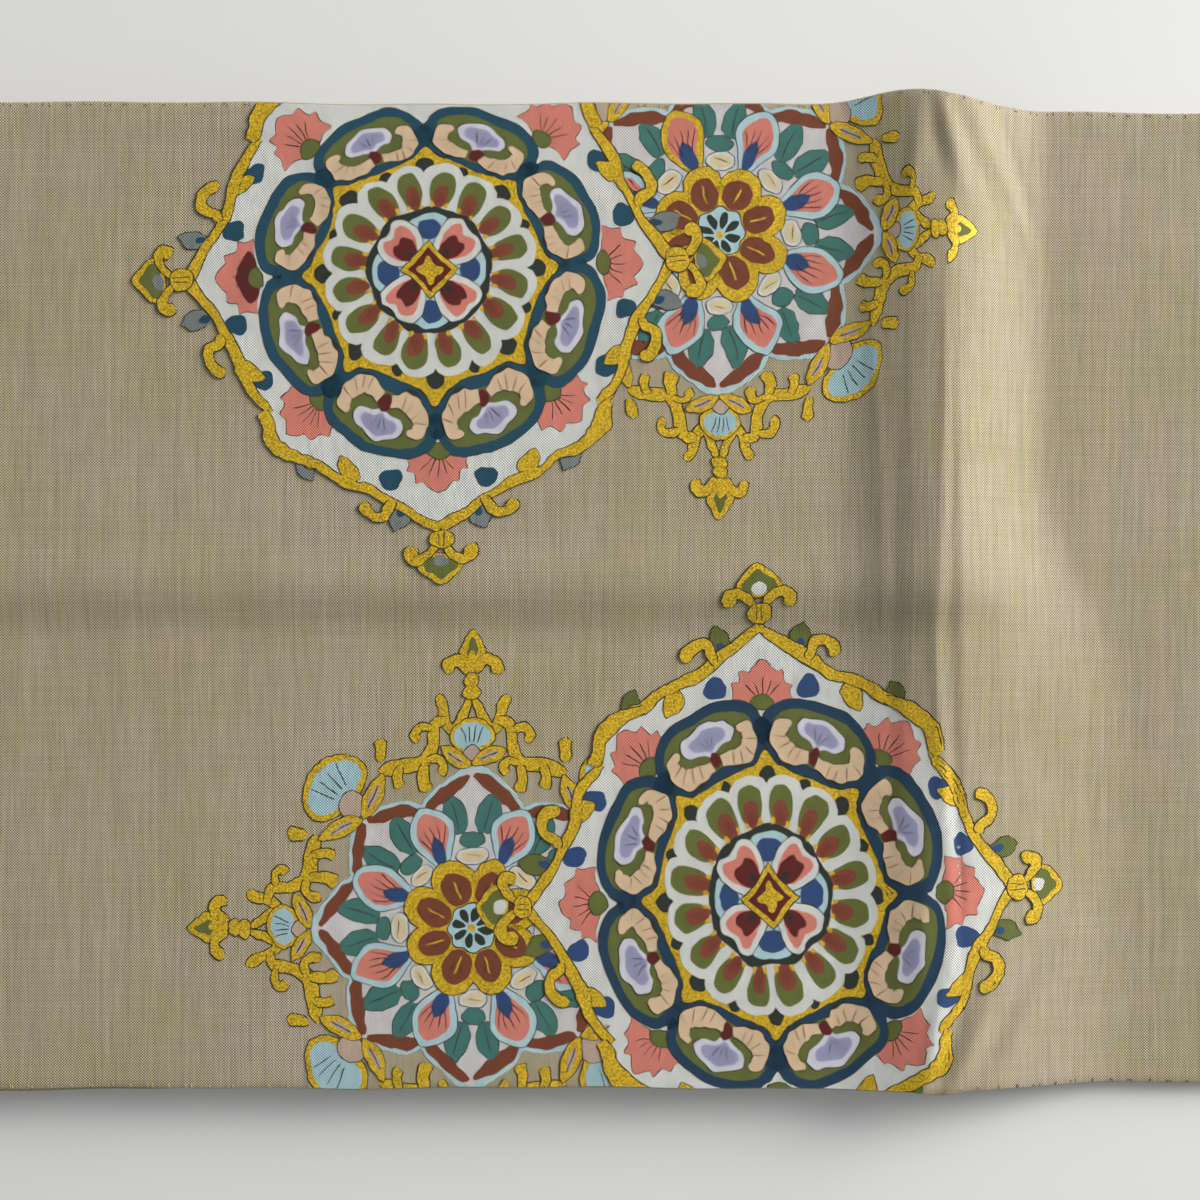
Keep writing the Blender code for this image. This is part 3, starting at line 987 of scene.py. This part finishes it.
def round_medallion(name, centre, border, bud, material, seed, base_level, growth, core, blooms, dark_bloom):
    """A round eight-lobed medallion in a pointed gold frame, with flowers between."""
    figure = Figure(centre, ROUND_TURN, seed, (0.0, growth, 55.0, 95.0))
    outer = frame_path()
    turn = np.arctan2(outer[:, 1], outer[:, 0])
    figure.annulus(polar(46.5 + 0 * turn, turn), outer, "white", 1)
    draw_frame(figure)
    for axis in around(4):
        upright = axis % 180 != 0
        tip = TIPS["upright" if upright else "side"]
        foot = tip["foot"] or blooms["upright"]
        draw_bloom(figure, axis, foot, tip["length"], tip["width"], axis == dark_bloom)
        diagonal = axis + 45 + blooms["turn"] * (-1 if upright else 1)
        draw_bloom(figure, diagonal, blooms["diagonal"], 1.3, 0.95)
        for side in (1, -1):
            draw_tip(figure, axis, side, tip, bud[0], bud[1])
        draw_finial(figure, axis, tip["reach"], bud[2])
    figure.core = core
    for bearing in around(8, 22.5):
        draw_lobe(figure, bearing, border)
    draw_petal_ring(figure, border)
    draw_heart(figure)
    return figure.build(name, material, base_level)


# The flower medallion, in millimetres.

# Radius of the bracket outline at bearings in degrees from a tip, up to half way to the next tip.
BRACKET_TURNS = (
    (0.0, 50.5), (5.0, 48.0), (12.0, 45.0), (18.0, 42.5), (22.5, 39.5), (27.0, 42.5),
    (34.0, 45.5), (40.0, 48.0), (45.0, 50.0),
)
# Gold scrolls beside an axis: points as (radius along the axis, distance from it), and half width.
SCROLLS = (
    {"path": ((69.5, 0.8), (64.6, 3.0), (61.0, 5.8), (63.5, 8.2), (68.0, 9.2), (71.2, 11.2)), "half": 1.7},
    {
        "path": ((64.0, 8.0), (62.5, 12.0), (56.5, 12.6), (51.8, 15.3), (50.2, 21.3), (48.6, 29.3)),
        "half": 2.1,
    },
    {"path": ((61.5, 13.0), (62.0, 16.8), (59.5, 18.4), (58.2, 16.8)), "half": 1.4},
    {"path": ((52.0, 14.5), (52.5, 11.0), (50.2, 9.3), (48.2, 10.6)), "half": 1.4},
    {"path": ((51.0, 15.2), (46.5, 15.6), (42.8, 14.2)), "half": 1.9},
    {"path": ((50.0, 22.5), (46.5, 23.4), (43.6, 22.6)), "half": 1.6},
    {"path": ((51.5, 28.9), (58.3, 28.9)), "half": 1.9},
)
SCROLL_SHARE = 0.94
SIDE_CURL = ((77.0, 1.5), (80.5, 4.5), (80.0, 7.6), (77.2, 8.4))
# Halves of outlines on the side y >= 0, pointing along +x. The palmette's is for length and width 1.
CORAL_PETAL = ((-10.2, 0.0), (-5.6, 3.6), (1.6, 7.2), (7.4, 5.2), (11.2, 0.0))
SCROLL_BUD = ((77.4, 0.0), (78.6, 2.2), (82.6, 4.6), (85.0, 3.6), (89.4, 0.0))
PALMETTE = ((-0.7, 0.0), (-0.45, 0.7), (0.0, 1.02), (0.5, 0.92), (0.86, 0.56), (1.04, 0.3), (1.08, 0.0))
STROKE_REACH = 11.0


def bracket_path():
    """The eight-lobed bracket outline, its points kept by a spline for each side of a point."""
    half = np.array(BRACKET_TURNS)
    back = (half * (-1, 1))[::-1] + (90, 0)
    rows = []
    for step in range(4):
        for side in (half[:5], half[4:], back[:5], back[4:]):
            rows.append(spline(side, 6)[:-1] + (90 * step, 0))
    turns = np.concatenate(rows)
    return polar(turns[:, 1], np.radians(turns[:, 0])), turns[:, 0]


def draw_brackets(figure):
    """The ash-grey ground, its powder-blue edge, and an umber brush stroke inside each lobe's edge."""
    outline, turns = bracket_path()
    angle = np.arctan2(outline[:, 1], outline[:, 0])
    figure.annulus(polar(16.0 + 0 * angle, angle), outline, "ash", 3)
    figure.stroke(outline * 1.014, 0.95, "powder", 4, closed=True)
    for start in around(16, 11.25):
        away = (turns - start + 180) % 360 - 180
        chosen = np.flatnonzero(np.abs(away) < STROKE_REACH)
        order = chosen[np.argsort(away[chosen])]
        share = away[order] / STROKE_REACH
        band = 2.1 * np.clip(1 - np.abs(share) ** 2.4, 0, 1) ** 0.7 * (1 + 0.14 * np.sin(9 * share + start))
        figure.stroke(outline[order] * 0.955, band + 0.1, "umber", 5)


def draw_coral_petal(figure, bearing, border):
    """A coral petal edged with powder blue or gold, with a cobalt lens and ink veins."""
    figure.shape(placed(outline_of(CORAL_PETAL, 6), 29.4, bearing), 6, border, "coral", 1.9)
    figure.fill(placed(petal(4.9, 2.4, tip=0.7, foot=0.2), 26.0, bearing), "cobalt", 9)
    for step in (-2, -1, 0, 1, 2):
        foot = 26.6 if step else 29.4
        vein = ((foot, 0.8 * step), (30.0, 1.8 * step), (34.6 - abs(step), 2.3 * step))
        figure.line(rotated(spline(vein, 4), bearing), 9.5, 0.17)


def draw_flower_heart(figure, petals, start):
    """Umber petals edged with gold round a powder-blue disc with dark seeds."""
    width = 7.4 * 7 / petals
    for bearing in around(petals, start):
        size = figure.draw.uniform(0.95, 1.05)
        outline = placed(squarish(7.6 * size, width, 2.2), 14.2, bearing)
        figure.shape(outline, 10, "gold")
    ring = steps_round(64)
    figure.fill(polar(12.0 + 0 * ring, ring), "gold", 12)
    for bearing in around(petals, start):
        figure.fill(placed(squarish(5.3, width * 0.66, 2.1, 40), 12.9, bearing), "umber", 13)
        figure.line(rotated(straight((9.8, 0.1), (15.4, -0.3), 6), bearing), 14, 0.26, "gold")
        for step in (-1, 1):
            vein = straight((12.0, 0.9 * step), (15.0, 1.9 * step), 4)
            figure.line(rotated(vein, bearing), 14, 0.14)
    figure.fill(polar(7.8 + 0.5 * np.cos(petals * ring), ring), "ink", 15)
    figure.fill(polar(7.4 + 0.5 * np.cos(petals * ring), ring), "powder", 16)
    for bearing in around(petals, start + 10):
        figure.fill(placed(petal(2.4, 1.25, skew=0.25, foot=0.5), 4.2, bearing), "black green", 17)
    figure.fill(polar(1.2 + 0 * ring, ring), "gold", 18)


def draw_slit_leaf(figure, middle, turn, axis, length, width):
    """A gold leaf with a shell-pink slit and a dark thread in it."""
    leaf = rotated(petal(length, width, tip=0.55, foot=0.35), turn) + middle
    slit = rotated(petal(length * 0.55, width * 0.42, tip=0.6, foot=0.4), turn) + middle
    figure.shape(rotated(leaf, axis), 10, "gold")
    figure.fill(rotated(slit, axis), "shell", 12)
    run = rotated(straight((-length * 0.5, 0.0), (length * 0.5, 0.0)), turn) + middle
    figure.line(rotated(run, axis), 13, 0.16)


def draw_scrollwork(figure, axis):
    """Gold scrolls, a palmette and a finial on one side of the flower, and one on its diagonal."""
    for side in (1, -1):
        for number, scroll in enumerate(SCROLLS):
            path = rotated(np.array(scroll["path"]) * (1, side), axis)
            figure.vine(path, scroll["half"] * SCROLL_SHARE, 1 + 0.6 * number, (0.75, 1.1))
        figure.vine(rotated(np.array(SIDE_CURL) * (1, side), axis), 1.75, 6, (0.7, 1.05))
        draw_slit_leaf(figure, (53.5, 5.2 * side), 65 * side, axis, 5.5, 2.3)
        draw_slit_leaf(figure, (51.2, 7.2 * side), 70 * side, axis + 45, 7.3, 2.6)
    draw_palmette(figure, axis, 54.6, 5.4, 6.6, 2.1)
    draw_palmette(figure, axis + 45, 53.4, 9.2, 11.4, 3.8)
    figure.shape(rotated(outline_of(SCROLL_BUD, 5), axis), 5, "gold", "leaf", 2.2)
    figure.fill(placed(petal(3.2, 1.7), 79.6, axis), "gold", 8.5)
    for radius, width in ((71.5, 2.6), (74.7, 2.3)):
        figure.shape(placed(squarish(1.9, width, 2.2, 32), radius, axis), 9, "gold")


def draw_palmette(figure, bearing, foot, length, width, base):
    """A sky-blue fan edged with gold on a shell-pink base, with dark veins."""
    fan = outline_of(PALMETTE, 6) * (length, width) + (foot + length * 0.7, 0)
    figure.shape(rotated(fan, bearing), 5.4, "gold", "sky", 0.16 * width)
    figure.shape(placed(squarish(base, base * 1.15, 2.0, 32), foot, bearing), 8, "shell")
    for step in (-1.5, -0.5, 0.5, 1.5):
        near, far = foot + length * 0.6, foot + length * 1.35
        vein = straight((near, 0.16 * width * step), (far, 0.32 * width * step))
        figure.line(rotated(vein, bearing), 8.4, 0.16)


def flower_medallion(name, centre, gilt_bearing, petals, start, growth, material, seed, base_level):
    """A flower in an eight-lobed bracket, with gold scrollwork round it."""
    figure = Figure(centre, 0.0, seed, growth + (45.0, 88.0))
    for axis in around(4):
        draw_scrollwork(figure, axis)
    draw_brackets(figure)
    for bearing in around(8):
        for side in (1, -1):
            turn = bearing + 8.2 * side + figure.draw.uniform(-1.2, 1.2)
            leaf = petal(6.3, 3.5, skew=-0.15, tip=0.3, scallops=9, depth=0.04)
            vein = straight((-5.2, 0), (3.6, 0))
            figure.shape(placed(leaf, 36.2, turn, turn=9 * side), 4, "pine")
            figure.line(placed(vein, 36.2, turn, turn=9 * side), 6, 0.17)
        figure.shape(placed(petal(2.4, 3.6), 28.0, bearing), 4, "pine")
        figure.shape(placed(petal(2.8, 4.4), 22.6, bearing), 7, "white", "cream", 1.0)
        figure.line(placed(straight((0.0, -1.9), (0.8, 1.9)), 22.6, bearing), 9.5, 0.16)
    for bearing in around(8, 22.5):
        near_gilt = abs((bearing - gilt_bearing + 180) % 360 - 180) < 10
        draw_coral_petal(figure, bearing + figure.draw.uniform(-1.5, 1.5), "gold" if near_gilt else "powder")
    draw_flower_heart(figure, petals, start)
    return figure.build(name, material, base_level, inside_round)


# Where the figures lie, in millimetres from the middle of the obi's face.
ROUND_PLACES = (
    {
        "name": "medallion_teal", "centre": (-53.1, 102.0), "seed": 11, "base_level": 13.0,
        "border": "teal", "bud": ("teal", "bud grey", "bud grey"), "dark_bloom": 180,
        "growth": -0.06, "core": (-0.06, 0.09, 30.0),
        "blooms": {"upright": 57.0, "diagonal": 54.0, "turn": 2.5},
    },
    {
        "name": "medallion_navy", "centre": (53.4, -94.1), "seed": 23, "base_level": 13.0,
        "border": "navy", "bud": ("cobalt", "leaf", "white"), "dark_bloom": None,
        "growth": 0.0, "core": (0.155, 0.125, -20.0),
        "blooms": {"upright": 61.2, "diagonal": 56.2, "turn": 4.5},
    },
)
FLOWER_PLACES = (
    {
        "name": "flower_upper", "centre": (37.3, 113.6), "seed": 37, "base_level": 2.5,
        "petals": 8, "start": 20.0, "gilt_bearing": 112.5, "growth": (-0.11, 0.0),
    },
    {
        "name": "flower_lower", "centre": (-40.0, -103.7), "seed": 41, "base_level": 2.5,
        "petals": 8, "start": 22.5, "gilt_bearing": 400.0, "growth": (0.0, 0.045),
    },
)


def inside_round(x, y, margin=2.5):
    """True under either round medallion: nearer its middle than its frame, less a margin in mm."""
    half = np.array(SIDE_BAND[:-1] + MIDDLE_BAND[2:-1] + UPPER_BAND[1:])
    under = np.zeros(len(x), bool)
    for place in ROUND_PLACES:
        flat = rotated(np.stack([x, y], -1) / MM - place["centre"], -ROUND_TURN)
        turn = np.degrees(np.arctan2(np.abs(flat[:, 1]), np.abs(flat[:, 0])))
        under |= np.linalg.norm(flat, axis=1) < np.interp(turn, half[:, 0], half[:, 1]) - margin
    return under


# The plies and the folded layers.


def spread(path, widths, shares):
    """Points of a cloth: a path of (x, z) swept across Y, each row as wide as its own half width."""
    x, z = (np.asarray(values, float) for values in path)
    y = np.asarray(widths, float)[:, None] * shares[None, :]
    return np.stack([np.broadcast_to(x[:, None], y.shape), y, np.broadcast_to(z[:, None], y.shape)], -1)


def across_shares(count):
    """Shares of the half width from -1 to 1, closer together over the slope beside the hand end."""
    even = np.linspace(-1, 1, count)
    return even - 0.05 * np.sin(math.pi * even) ** 2 * bell(even + 0.1, 0.4)


RUN_POINTS = 60
WRAP_STEPS = 12
TURN_STEPS = 8


def broad_outer(inset, spacing, columns, tip):
    """Outer side of one ply of the broad section, inset under the face's own outer side.

    Over the stack its height is face_height less the inset taken square to the slope; the folds at
    the two ends are arcs about the same centres, less the inset; the lower run is level.
    """
    shares = across_shares(columns)
    x = stations(tip, WRAP_X, spacing)
    y = np.where(shares >= 0, edge_at(x[:, None], 1), edge_at(x[:, None], -1)) * shares
    grid_x = np.broadcast_to(x[:, None], y.shape)
    top = np.stack([grid_x, y, face_height(grid_x, y) - inset * secant(grid_x, y)], -1)
    wrap = arc((WRAP_X, FOLD_OUTER_RADIUS), FOLD_OUTER_RADIUS - inset, 90, -180, WRAP_STEPS)
    low_x = np.linspace(WRAP_X, LOWER_TURN_X, RUN_POINTS)
    path = np.concatenate([wrap, (low_x, np.full(RUN_POINTS, inset))], axis=1)
    return shares, top, spread(path, np.full(path.shape[1], LOWER_HALF_WIDTH), shares)


def face_outer():
    """The face: turned in at the tip, over the stack, round the fold, back below and lifted in."""
    shares, top, low = broad_outer(inset=0.0, spacing=0.0032, columns=121, tip=TIP_X)
    tip_x, tip_z = arc((0.0, -TIP_RADIUS), TIP_RADIUS, 270, -180, TURN_STEPS)
    tip_x = np.concatenate([[TURN_IN, TURN_IN / 2, 0.0], tip_x])
    tip_z = np.concatenate([[-2 * TIP_RADIUS] * 3, tip_z])
    tip = np.repeat(top[:1], len(tip_x), axis=0)
    tip[:, :, 0] += tip_x[:, None]
    tip[:, :, 2] += tip_z[:, None]
    turn = arc((LOWER_TURN_X, LOWER_TURN_RADIUS), LOWER_TURN_RADIUS, 270, -180, TURN_STEPS)
    lifted = (LOWER_TURN_X + np.array([0.0, LIFT_IN / 2, LIFT_IN]), np.full(3, 2 * LOWER_TURN_RADIUS))
    end = np.concatenate([turn, lifted], axis=1)
    return np.concatenate([tip, top, low, spread(end, np.full(end.shape[1], LOWER_HALF_WIDTH), shares)])


def back_outer():
    """The back ply, one pitch inside the face, with its lower edge just past the face's at the left."""
    shares, top, low = broad_outer(inset=PITCH, spacing=0.0040, columns=61, tip=TIP_X + TURN_IN + GAP)
    lower_half = np.clip(-shares, 0, 1)[None, :]
    top[:, :, 1] -= 0.0009 * lower_half * smooth((-0.125 - top[:, :, 0]) / 0.02)
    return np.concatenate([top, low])


# The folded cloth's runs, from the lowest: the end of each run and its half width, in metres.
RUNS = (
    {"left": LOWER_TURN_X + LIFT_IN + GAP, "right": 0.1098, "half_width": 0.1526},
    {"left": -0.2938, "right": 0.1098, "half_width": 0.1519},
    {"left": -0.2938, "right": 0.1080, "half_width": 0.1529},
    {"left": -0.2950, "right": 0.1080, "half_width": 0.1522},
    {"left": -0.2950, "right": 0.1035, "half_width": 0.1528},
)


def layers_outer():
    """One sheet folded to and fro: level runs joined by half circles.

    way is 1 on a run to the right and -1 on one to the left. The first run's outer side is its top.
    """
    rise = (STACK_HIGH[2] - STACK_LOW[2]) / len(RUNS)
    path_x, path_z, widths = [], [], []
    for number, run in enumerate(RUNS):
        way = -1 if number % 2 else 1
        last = number == len(RUNS) - 1
        middle = STACK_LOW[2] + rise * (number + 0.5)
        start, end = (run["left"], run["right"]) if way > 0 else (run["right"], run["left"])
        bend = way * (rise / 2 + PLY / 2)
        start += bend if number else 0.0
        end -= 0.0 if last else bend
        x = np.linspace(start, end, RUN_POINTS)
        path_x.append(x)
        path_z.append(np.full(RUN_POINTS, middle + way * PLY / 2))
        widths.append(run["half_width"] + 0.0004 * np.sin(x / 0.031 + 2.1 * number))
        if not last:
            radius = rise / 2 - way * PLY / 2
            fold_x, fold_z = arc((end, middle + rise / 2), radius, 270, 180 * way, TURN_STEPS)
            path_x.append(fold_x)
            path_z.append(fold_z)
            widths.append(np.linspace(run["half_width"], RUNS[number + 1]["half_width"], TURN_STEPS - 1))
    path = np.concatenate(path_x), np.concatenate(path_z)
    return spread(path, np.concatenate(widths), np.linspace(-1, 1, 33))


def hand_end_outer():
    """The hand end: level upper ply, a half circle along its length, and the lower ply."""
    radius = (BAND_HIGH[2] - BAND_LOW[2]) / 2
    fold_y = BAND_LOW[1] + radius
    level = np.linspace(BAND_HIGH[1] - 0.0002, fold_y, 40)
    fold = arc((fold_y, BAND_LOW[2] + radius), radius, 90, 180, TURN_STEPS)
    y = np.concatenate([level, fold[0], level[::-1]])
    z = np.concatenate([np.full(40, BAND_HIGH[2]), fold[1], np.full(40, BAND_LOW[2])])
    x = np.linspace(BAND_LOW[0] + 0.0005, BAND_HIGH[0] - 0.0005, 90)
    return np.stack(np.broadcast_arrays(x[None, :], y[:, None], z[:, None]), -1)


# Stitches that whip the two plies together along the long edges.


STITCH_CLEARANCE = 0.00012


def stitch_paths(side, level, first, last, pitch, seed):
    """Centre lines of the stitches on one edge: half turns from the face, round the edge, to the back.

    Points go round a flattened half circle in the plane across the edge, and lean along it. level is
    the height of the plies' top, or None on the face.
    """
    draw = np.random.default_rng(seed)
    x = np.arange(first, last, pitch)
    x = x + draw.uniform(-0.22, 0.22, len(x)) * pitch
    lean = np.where(np.arange(len(x)) % 2, 1, -1) * draw.uniform(0.25, 0.5, len(x)) * pitch
    turn = np.linspace(-0.12, 1.12, 9)[None, :] * math.pi
    height = TWO_PLIES / 2 + STITCH_CLEARANCE
    depth = draw.uniform(0.0007, 0.0011, len(x))[:, None]
    along = x[:, None] + lean[:, None] * np.cos(turn)
    edge = edge_at(along, side) if level is None else np.full(along.shape, LOWER_HALF_WIDTH)
    away = edge + RIM_BULGE * PLY - depth + (depth + 0.00014) * np.sin(turn)
    top = face_height(along, side * (edge - 0.0005)) if level is None else np.full(along.shape, level)
    rise = top - height + STITCH_CLEARANCE + height * np.cos(turn) * 1.02
    return np.stack([along, side * away, np.maximum(rise, 0.0002)], -1)


def tubes(paths, radius, sides):
    """Round threads: a ring of points about each point of each path, square to its run."""
    run = np.gradient(paths, axis=1)
    run /= np.linalg.norm(run, axis=2, keepdims=True)
    level = np.cross(run, np.array([1.0, 0.2, 0.0]))
    level /= np.linalg.norm(level, axis=2, keepdims=True)
    other = np.cross(run, level)
    turn = steps_round(sides)
    ring = np.cos(turn)[:, None] * level[:, :, None] + np.sin(turn)[:, None] * other[:, :, None]
    points = paths[:, :, None] + radius * ring
    count, steps = paths.shape[:2]
    starts = np.arange(count) * steps * sides
    quads = grid_faces(steps, sides, wrap=True)
    body = (quads[None] + starts[:, None, None]).reshape(-1, 4).tolist()
    near = (starts[:, None] + np.arange(sides)[::-1]).tolist()
    far = (starts[:, None] + (steps - 1) * sides + np.arange(sides)).tolist()
    return points.reshape(-1, 3), body + near + far


def whip_stitches(material):
    """All four rows of stitches as one mesh: pale threads at the left, dark ones at the lower right."""
    sizes = bpy.context.scene.obi_sizes
    last = WRAP_X - 0.002
    rows = (
        (1, None, TIP_X + 0.004, 51),
        (-1, None, TIP_X + 0.004, 52),
        (1, TWO_PLIES, LOWER_TURN_X + 0.01, 53),
        (-1, TWO_PLIES, LOWER_TURN_X + 0.01, 54),
    )
    pitch = sizes.stitch_pitch
    paths = [stitch_paths(side, level, first, last, pitch, seed) for side, level, first, seed in rows]
    paths = np.concatenate(paths)
    points, faces = tubes(paths, sizes.stitch_radius, 6)
    obj = new_mesh_object("whip_stitches", points, faces, material, points[:, :2])
    dyes = bpy.context.scene.obi_dyes
    pale, dark = np.array(dyes.cream) * 0.75, np.array(dyes.umber) * 0.5
    ground = np.array(dyes.olive_ground) * 0.9
    x, y = points[:, 0], points[:, 1]
    pale_share = np.where(y < 0, smooth((-0.08 - x) / 0.05), smooth((x - 0.13) / 0.02))[:, None]
    dark_share = (smooth((x - 0.120) / 0.01) * (y < 0))[:, None]
    colour = ground + (pale - ground) * pale_share
    colour = colour + (dark - colour) * dark_share * 0.8
    thread_attributes(obj.data, colour, np.zeros(len(points)))
    return obj


# The table, the light and the camera.


def add_floor():
    """A wide table top: a level grid of squares."""
    side = np.linspace(-6.0, 6.0, 9)
    x, y = np.meshgrid(side, side)
    points = np.stack([x, y, np.zeros_like(x)], -1).reshape(-1, 3)
    faces = grid_faces(len(side), len(side)).tolist()
    floor = new_mesh_object("table_top", points, faces, floor_paint(), points[:, :2])


def add_area_light(name, azimuth, elevation, distance, size, power, colour):
    """A square soft light that faces the obi's middle from an azimuth (degrees from +X) and elevation."""
    data = bpy.data.lights.new(name, "AREA")
    data.shape = "SQUARE"
    data.size = size
    data.energy = power
    data.color = colour
    light = bpy.data.objects.new(name, data)
    bpy.context.scene.collection.objects.link(light)
    turn, rise = math.radians(azimuth), math.radians(elevation)
    back = Vector((math.cos(turn) * math.cos(rise), math.sin(turn) * math.cos(rise), math.sin(rise)))
    light.location = back * distance
    light.rotation_euler = (-back).to_track_quat("-Z", "Y").to_euler()


def add_world(strength):
    """Even, slightly cool light from all round."""
    world = bpy.data.worlds.new("studio")
    world.use_nodes = True
    background = world.node_tree.nodes["Background"]
    background.inputs["Color"].default_value = (0.97, 0.985, 1.0, 1.0)
    background.inputs["Strength"].default_value = strength
    bpy.context.scene.world = world


CAMERA_Y = -0.0009


def add_camera(height, width):
    """Straight above the face: the lens follows from the width seen at the face's own height."""
    data = bpy.data.cameras.new("camera")
    data.sensor_width = 36.0
    data.lens = 36.0 * (height - FACE_HIGH[2]) / width
    data.clip_start = 0.01
    camera = bpy.data.objects.new("camera", data)
    camera.location = (0.0, CAMERA_Y, height)
    bpy.context.scene.collection.objects.link(camera)
    bpy.context.scene.camera = camera


def shared(build):
    """The material that build makes, made only once."""
    name = build.__name__.replace("_", " ")
    return bpy.data.materials.get(name) or build()


def attach(piece):
    """Puts a piece on the root body."""
    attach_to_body(piece, "root")
    return piece


class ObiDyes(bpy.types.PropertyGroup):
    """Colours of the silk, the gold strip and the sewing thread."""

    __annotations__ = {
        name.replace(" ", "_"): bpy.props.FloatVectorProperty(
            name=name.capitalize(),
            description=f"Colour of the {name} thread",
            subtype="COLOR",
            size=3,
            min=0.0,
            max=1.0,
            default=linear(rgb).tolist(),
        )
        for name, rgb in DYES.items()
    }


class ObiSizes(bpy.types.PropertyGroup):
    """Sizes of the stitches and of the view."""

    stitch_pitch: bpy.props.FloatProperty(
        name="Stitch pitch",
        description="Distance between whip stitches along an edge",
        default=0.0031,
        min=0.001,
        unit="LENGTH",
    )
    stitch_radius: bpy.props.FloatProperty(
        name="Stitch thread radius",
        description="Radius of the whipping thread",
        default=0.00013,
        min=0.00005,
        unit="LENGTH",
    )
    camera_height: bpy.props.FloatProperty(
        name="Camera height",
        description="Height of the camera above the table",
        default=0.55,
        min=0.1,
        unit="LENGTH",
    )
    view_width: bpy.props.FloatProperty(
        name="View width",
        description="Width of the view at the height of the face",
        default=0.3703,
        min=0.05,
        unit="LENGTH",
    )


class OBI_OT_face(bpy.types.Operator):
    """Weave the face ply of the broad section"""

    bl_idname = "obi.face"
    bl_label = "Face ply"

    def execute(self, context):
        face = cloth_shell("taiko_face_cloth", face_outer(), shared(ground_silk))
        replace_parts(attach(face), "taiko_face")
        return {"FINISHED"}


class OBI_OT_back(bpy.types.Operator):
    """Weave the back ply of the broad section"""

    bl_idname = "obi.back"
    bl_label = "Back ply"

    def execute(self, context):
        back = cloth_shell("taiko_back_cloth", back_outer(), shared(ground_silk))
        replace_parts(attach(back), "taiko_back")
        return {"FINISHED"}


class OBI_OT_layers(bpy.types.Operator):
    """Fold the rest of the cloth to and fro between the two runs"""

    bl_idname = "obi.layers"
    bl_label = "Folded layers"

    def execute(self, context):
        layers = cloth_shell("folded_layers_cloth", layers_outer(), shared(ground_silk))
        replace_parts(attach(layers), "folded_layers")
        return {"FINISHED"}


class OBI_OT_hand_end(bpy.types.Operator):
    """Fold the narrow hand end under the upper half"""

    bl_idname = "obi.hand_end"
    bl_label = "Hand end"

    def execute(self, context):
        hand_end = cloth_shell("te_band_cloth", hand_end_outer(), shared(ground_silk))
        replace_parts(attach(hand_end), "te_band")
        return {"FINISHED"}


class OBI_OT_rounds(bpy.types.Operator):
    """Weave the two round medallions"""

    bl_idname = "obi.rounds"
    bl_label = "Round medallions"

    def execute(self, context):
        for place in ROUND_PLACES:
            attach(round_medallion(material=shared(figure_silk), **place))
        return {"FINISHED"}


class OBI_OT_flowers(bpy.types.Operator):
    """Weave the two flower medallions"""

    bl_idname = "obi.flowers"
    bl_label = "Flower medallions"

    def execute(self, context):
        for place in FLOWER_PLACES:
            attach(flower_medallion(material=shared(figure_silk), **place))
        return {"FINISHED"}


class OBI_OT_stitches(bpy.types.Operator):
    """Whip the two plies together along both long edges"""

    bl_idname = "obi.stitches"
    bl_label = "Whip stitches"

    def execute(self, context):
        attach(whip_stitches(shared(sewing_thread)))
        return {"FINISHED"}


class OBI_OT_stage(bpy.types.Operator):
    """Set the table, the soft light and the camera straight above"""

    bl_idname = "obi.stage"
    bl_label = "Stage"

    def execute(self, context):
        sizes = context.scene.obi_sizes
        add_floor()
        add_world(strength=0.34)
        add_area_light(
            "window",
            azimuth=28.0,
            elevation=20.5,
            distance=3.2,
            size=1.7,
            power=172.0,
            colour=(1.0, 0.985, 0.96),
        )
        add_camera(sizes.camera_height, sizes.view_width)
        context.scene.view_settings.view_transform = "Standard"
        return {"FINISHED"}


MAKERS = (
    OBI_OT_face,
    OBI_OT_back,
    OBI_OT_layers,
    OBI_OT_hand_end,
    OBI_OT_rounds,
    OBI_OT_flowers,
    OBI_OT_stitches,
    OBI_OT_stage,
)


class OBI_PT_panel(bpy.types.Panel):
    """Lists the pieces of the obi, its sizes and its dyes"""

    bl_idname = "OBI_PT_panel"
    bl_label = "Folded obi sash"
    bl_space_type = "VIEW_3D"
    bl_region_type = "UI"
    bl_category = "Obi"

    def draw(self, context):
        for maker in MAKERS:
            self.layout.operator(maker.bl_idname)
        for group in (context.scene.obi_sizes, context.scene.obi_dyes):
            for name in group.__annotations__:
                self.layout.prop(group, name)


CLASSES = (ObiDyes, ObiSizes, *MAKERS, OBI_PT_panel)


def register():
    for item in CLASSES:
        bpy.utils.register_class(item)
    bpy.types.Scene.obi_dyes = bpy.props.PointerProperty(type=ObiDyes)
    bpy.types.Scene.obi_sizes = bpy.props.PointerProperty(type=ObiSizes)


def unregister():
    del bpy.types.Scene.obi_sizes
    del bpy.types.Scene.obi_dyes
    for item in reversed(CLASSES):
        bpy.utils.unregister_class(item)


def declare_sheets():
    """Works out the length of each cloth's path; the lengths are not kept or used."""
    long_runs = (WRAP_X - TIP_X) + (WRAP_X - LOWER_TURN_X)
    turns = TIP_RADIUS + FOLD_OUTER_RADIUS + LOWER_TURN_RADIUS - 1.5 * PLY
    face = long_runs + TURN_IN + LIFT_IN + math.pi * turns
    back = long_runs - TURN_IN + math.pi * (FOLD_OUTER_RADIUS - PITCH - PLY / 2)
    layers = sum(run["right"] - run["left"] for run in RUNS)


def main():
    register()
    for maker in MAKERS:
        group, name = maker.bl_idname.split(".")
        getattr(getattr(bpy.ops, group), name)()
    declare_sheets()


if __name__ == "__main__":
    main()
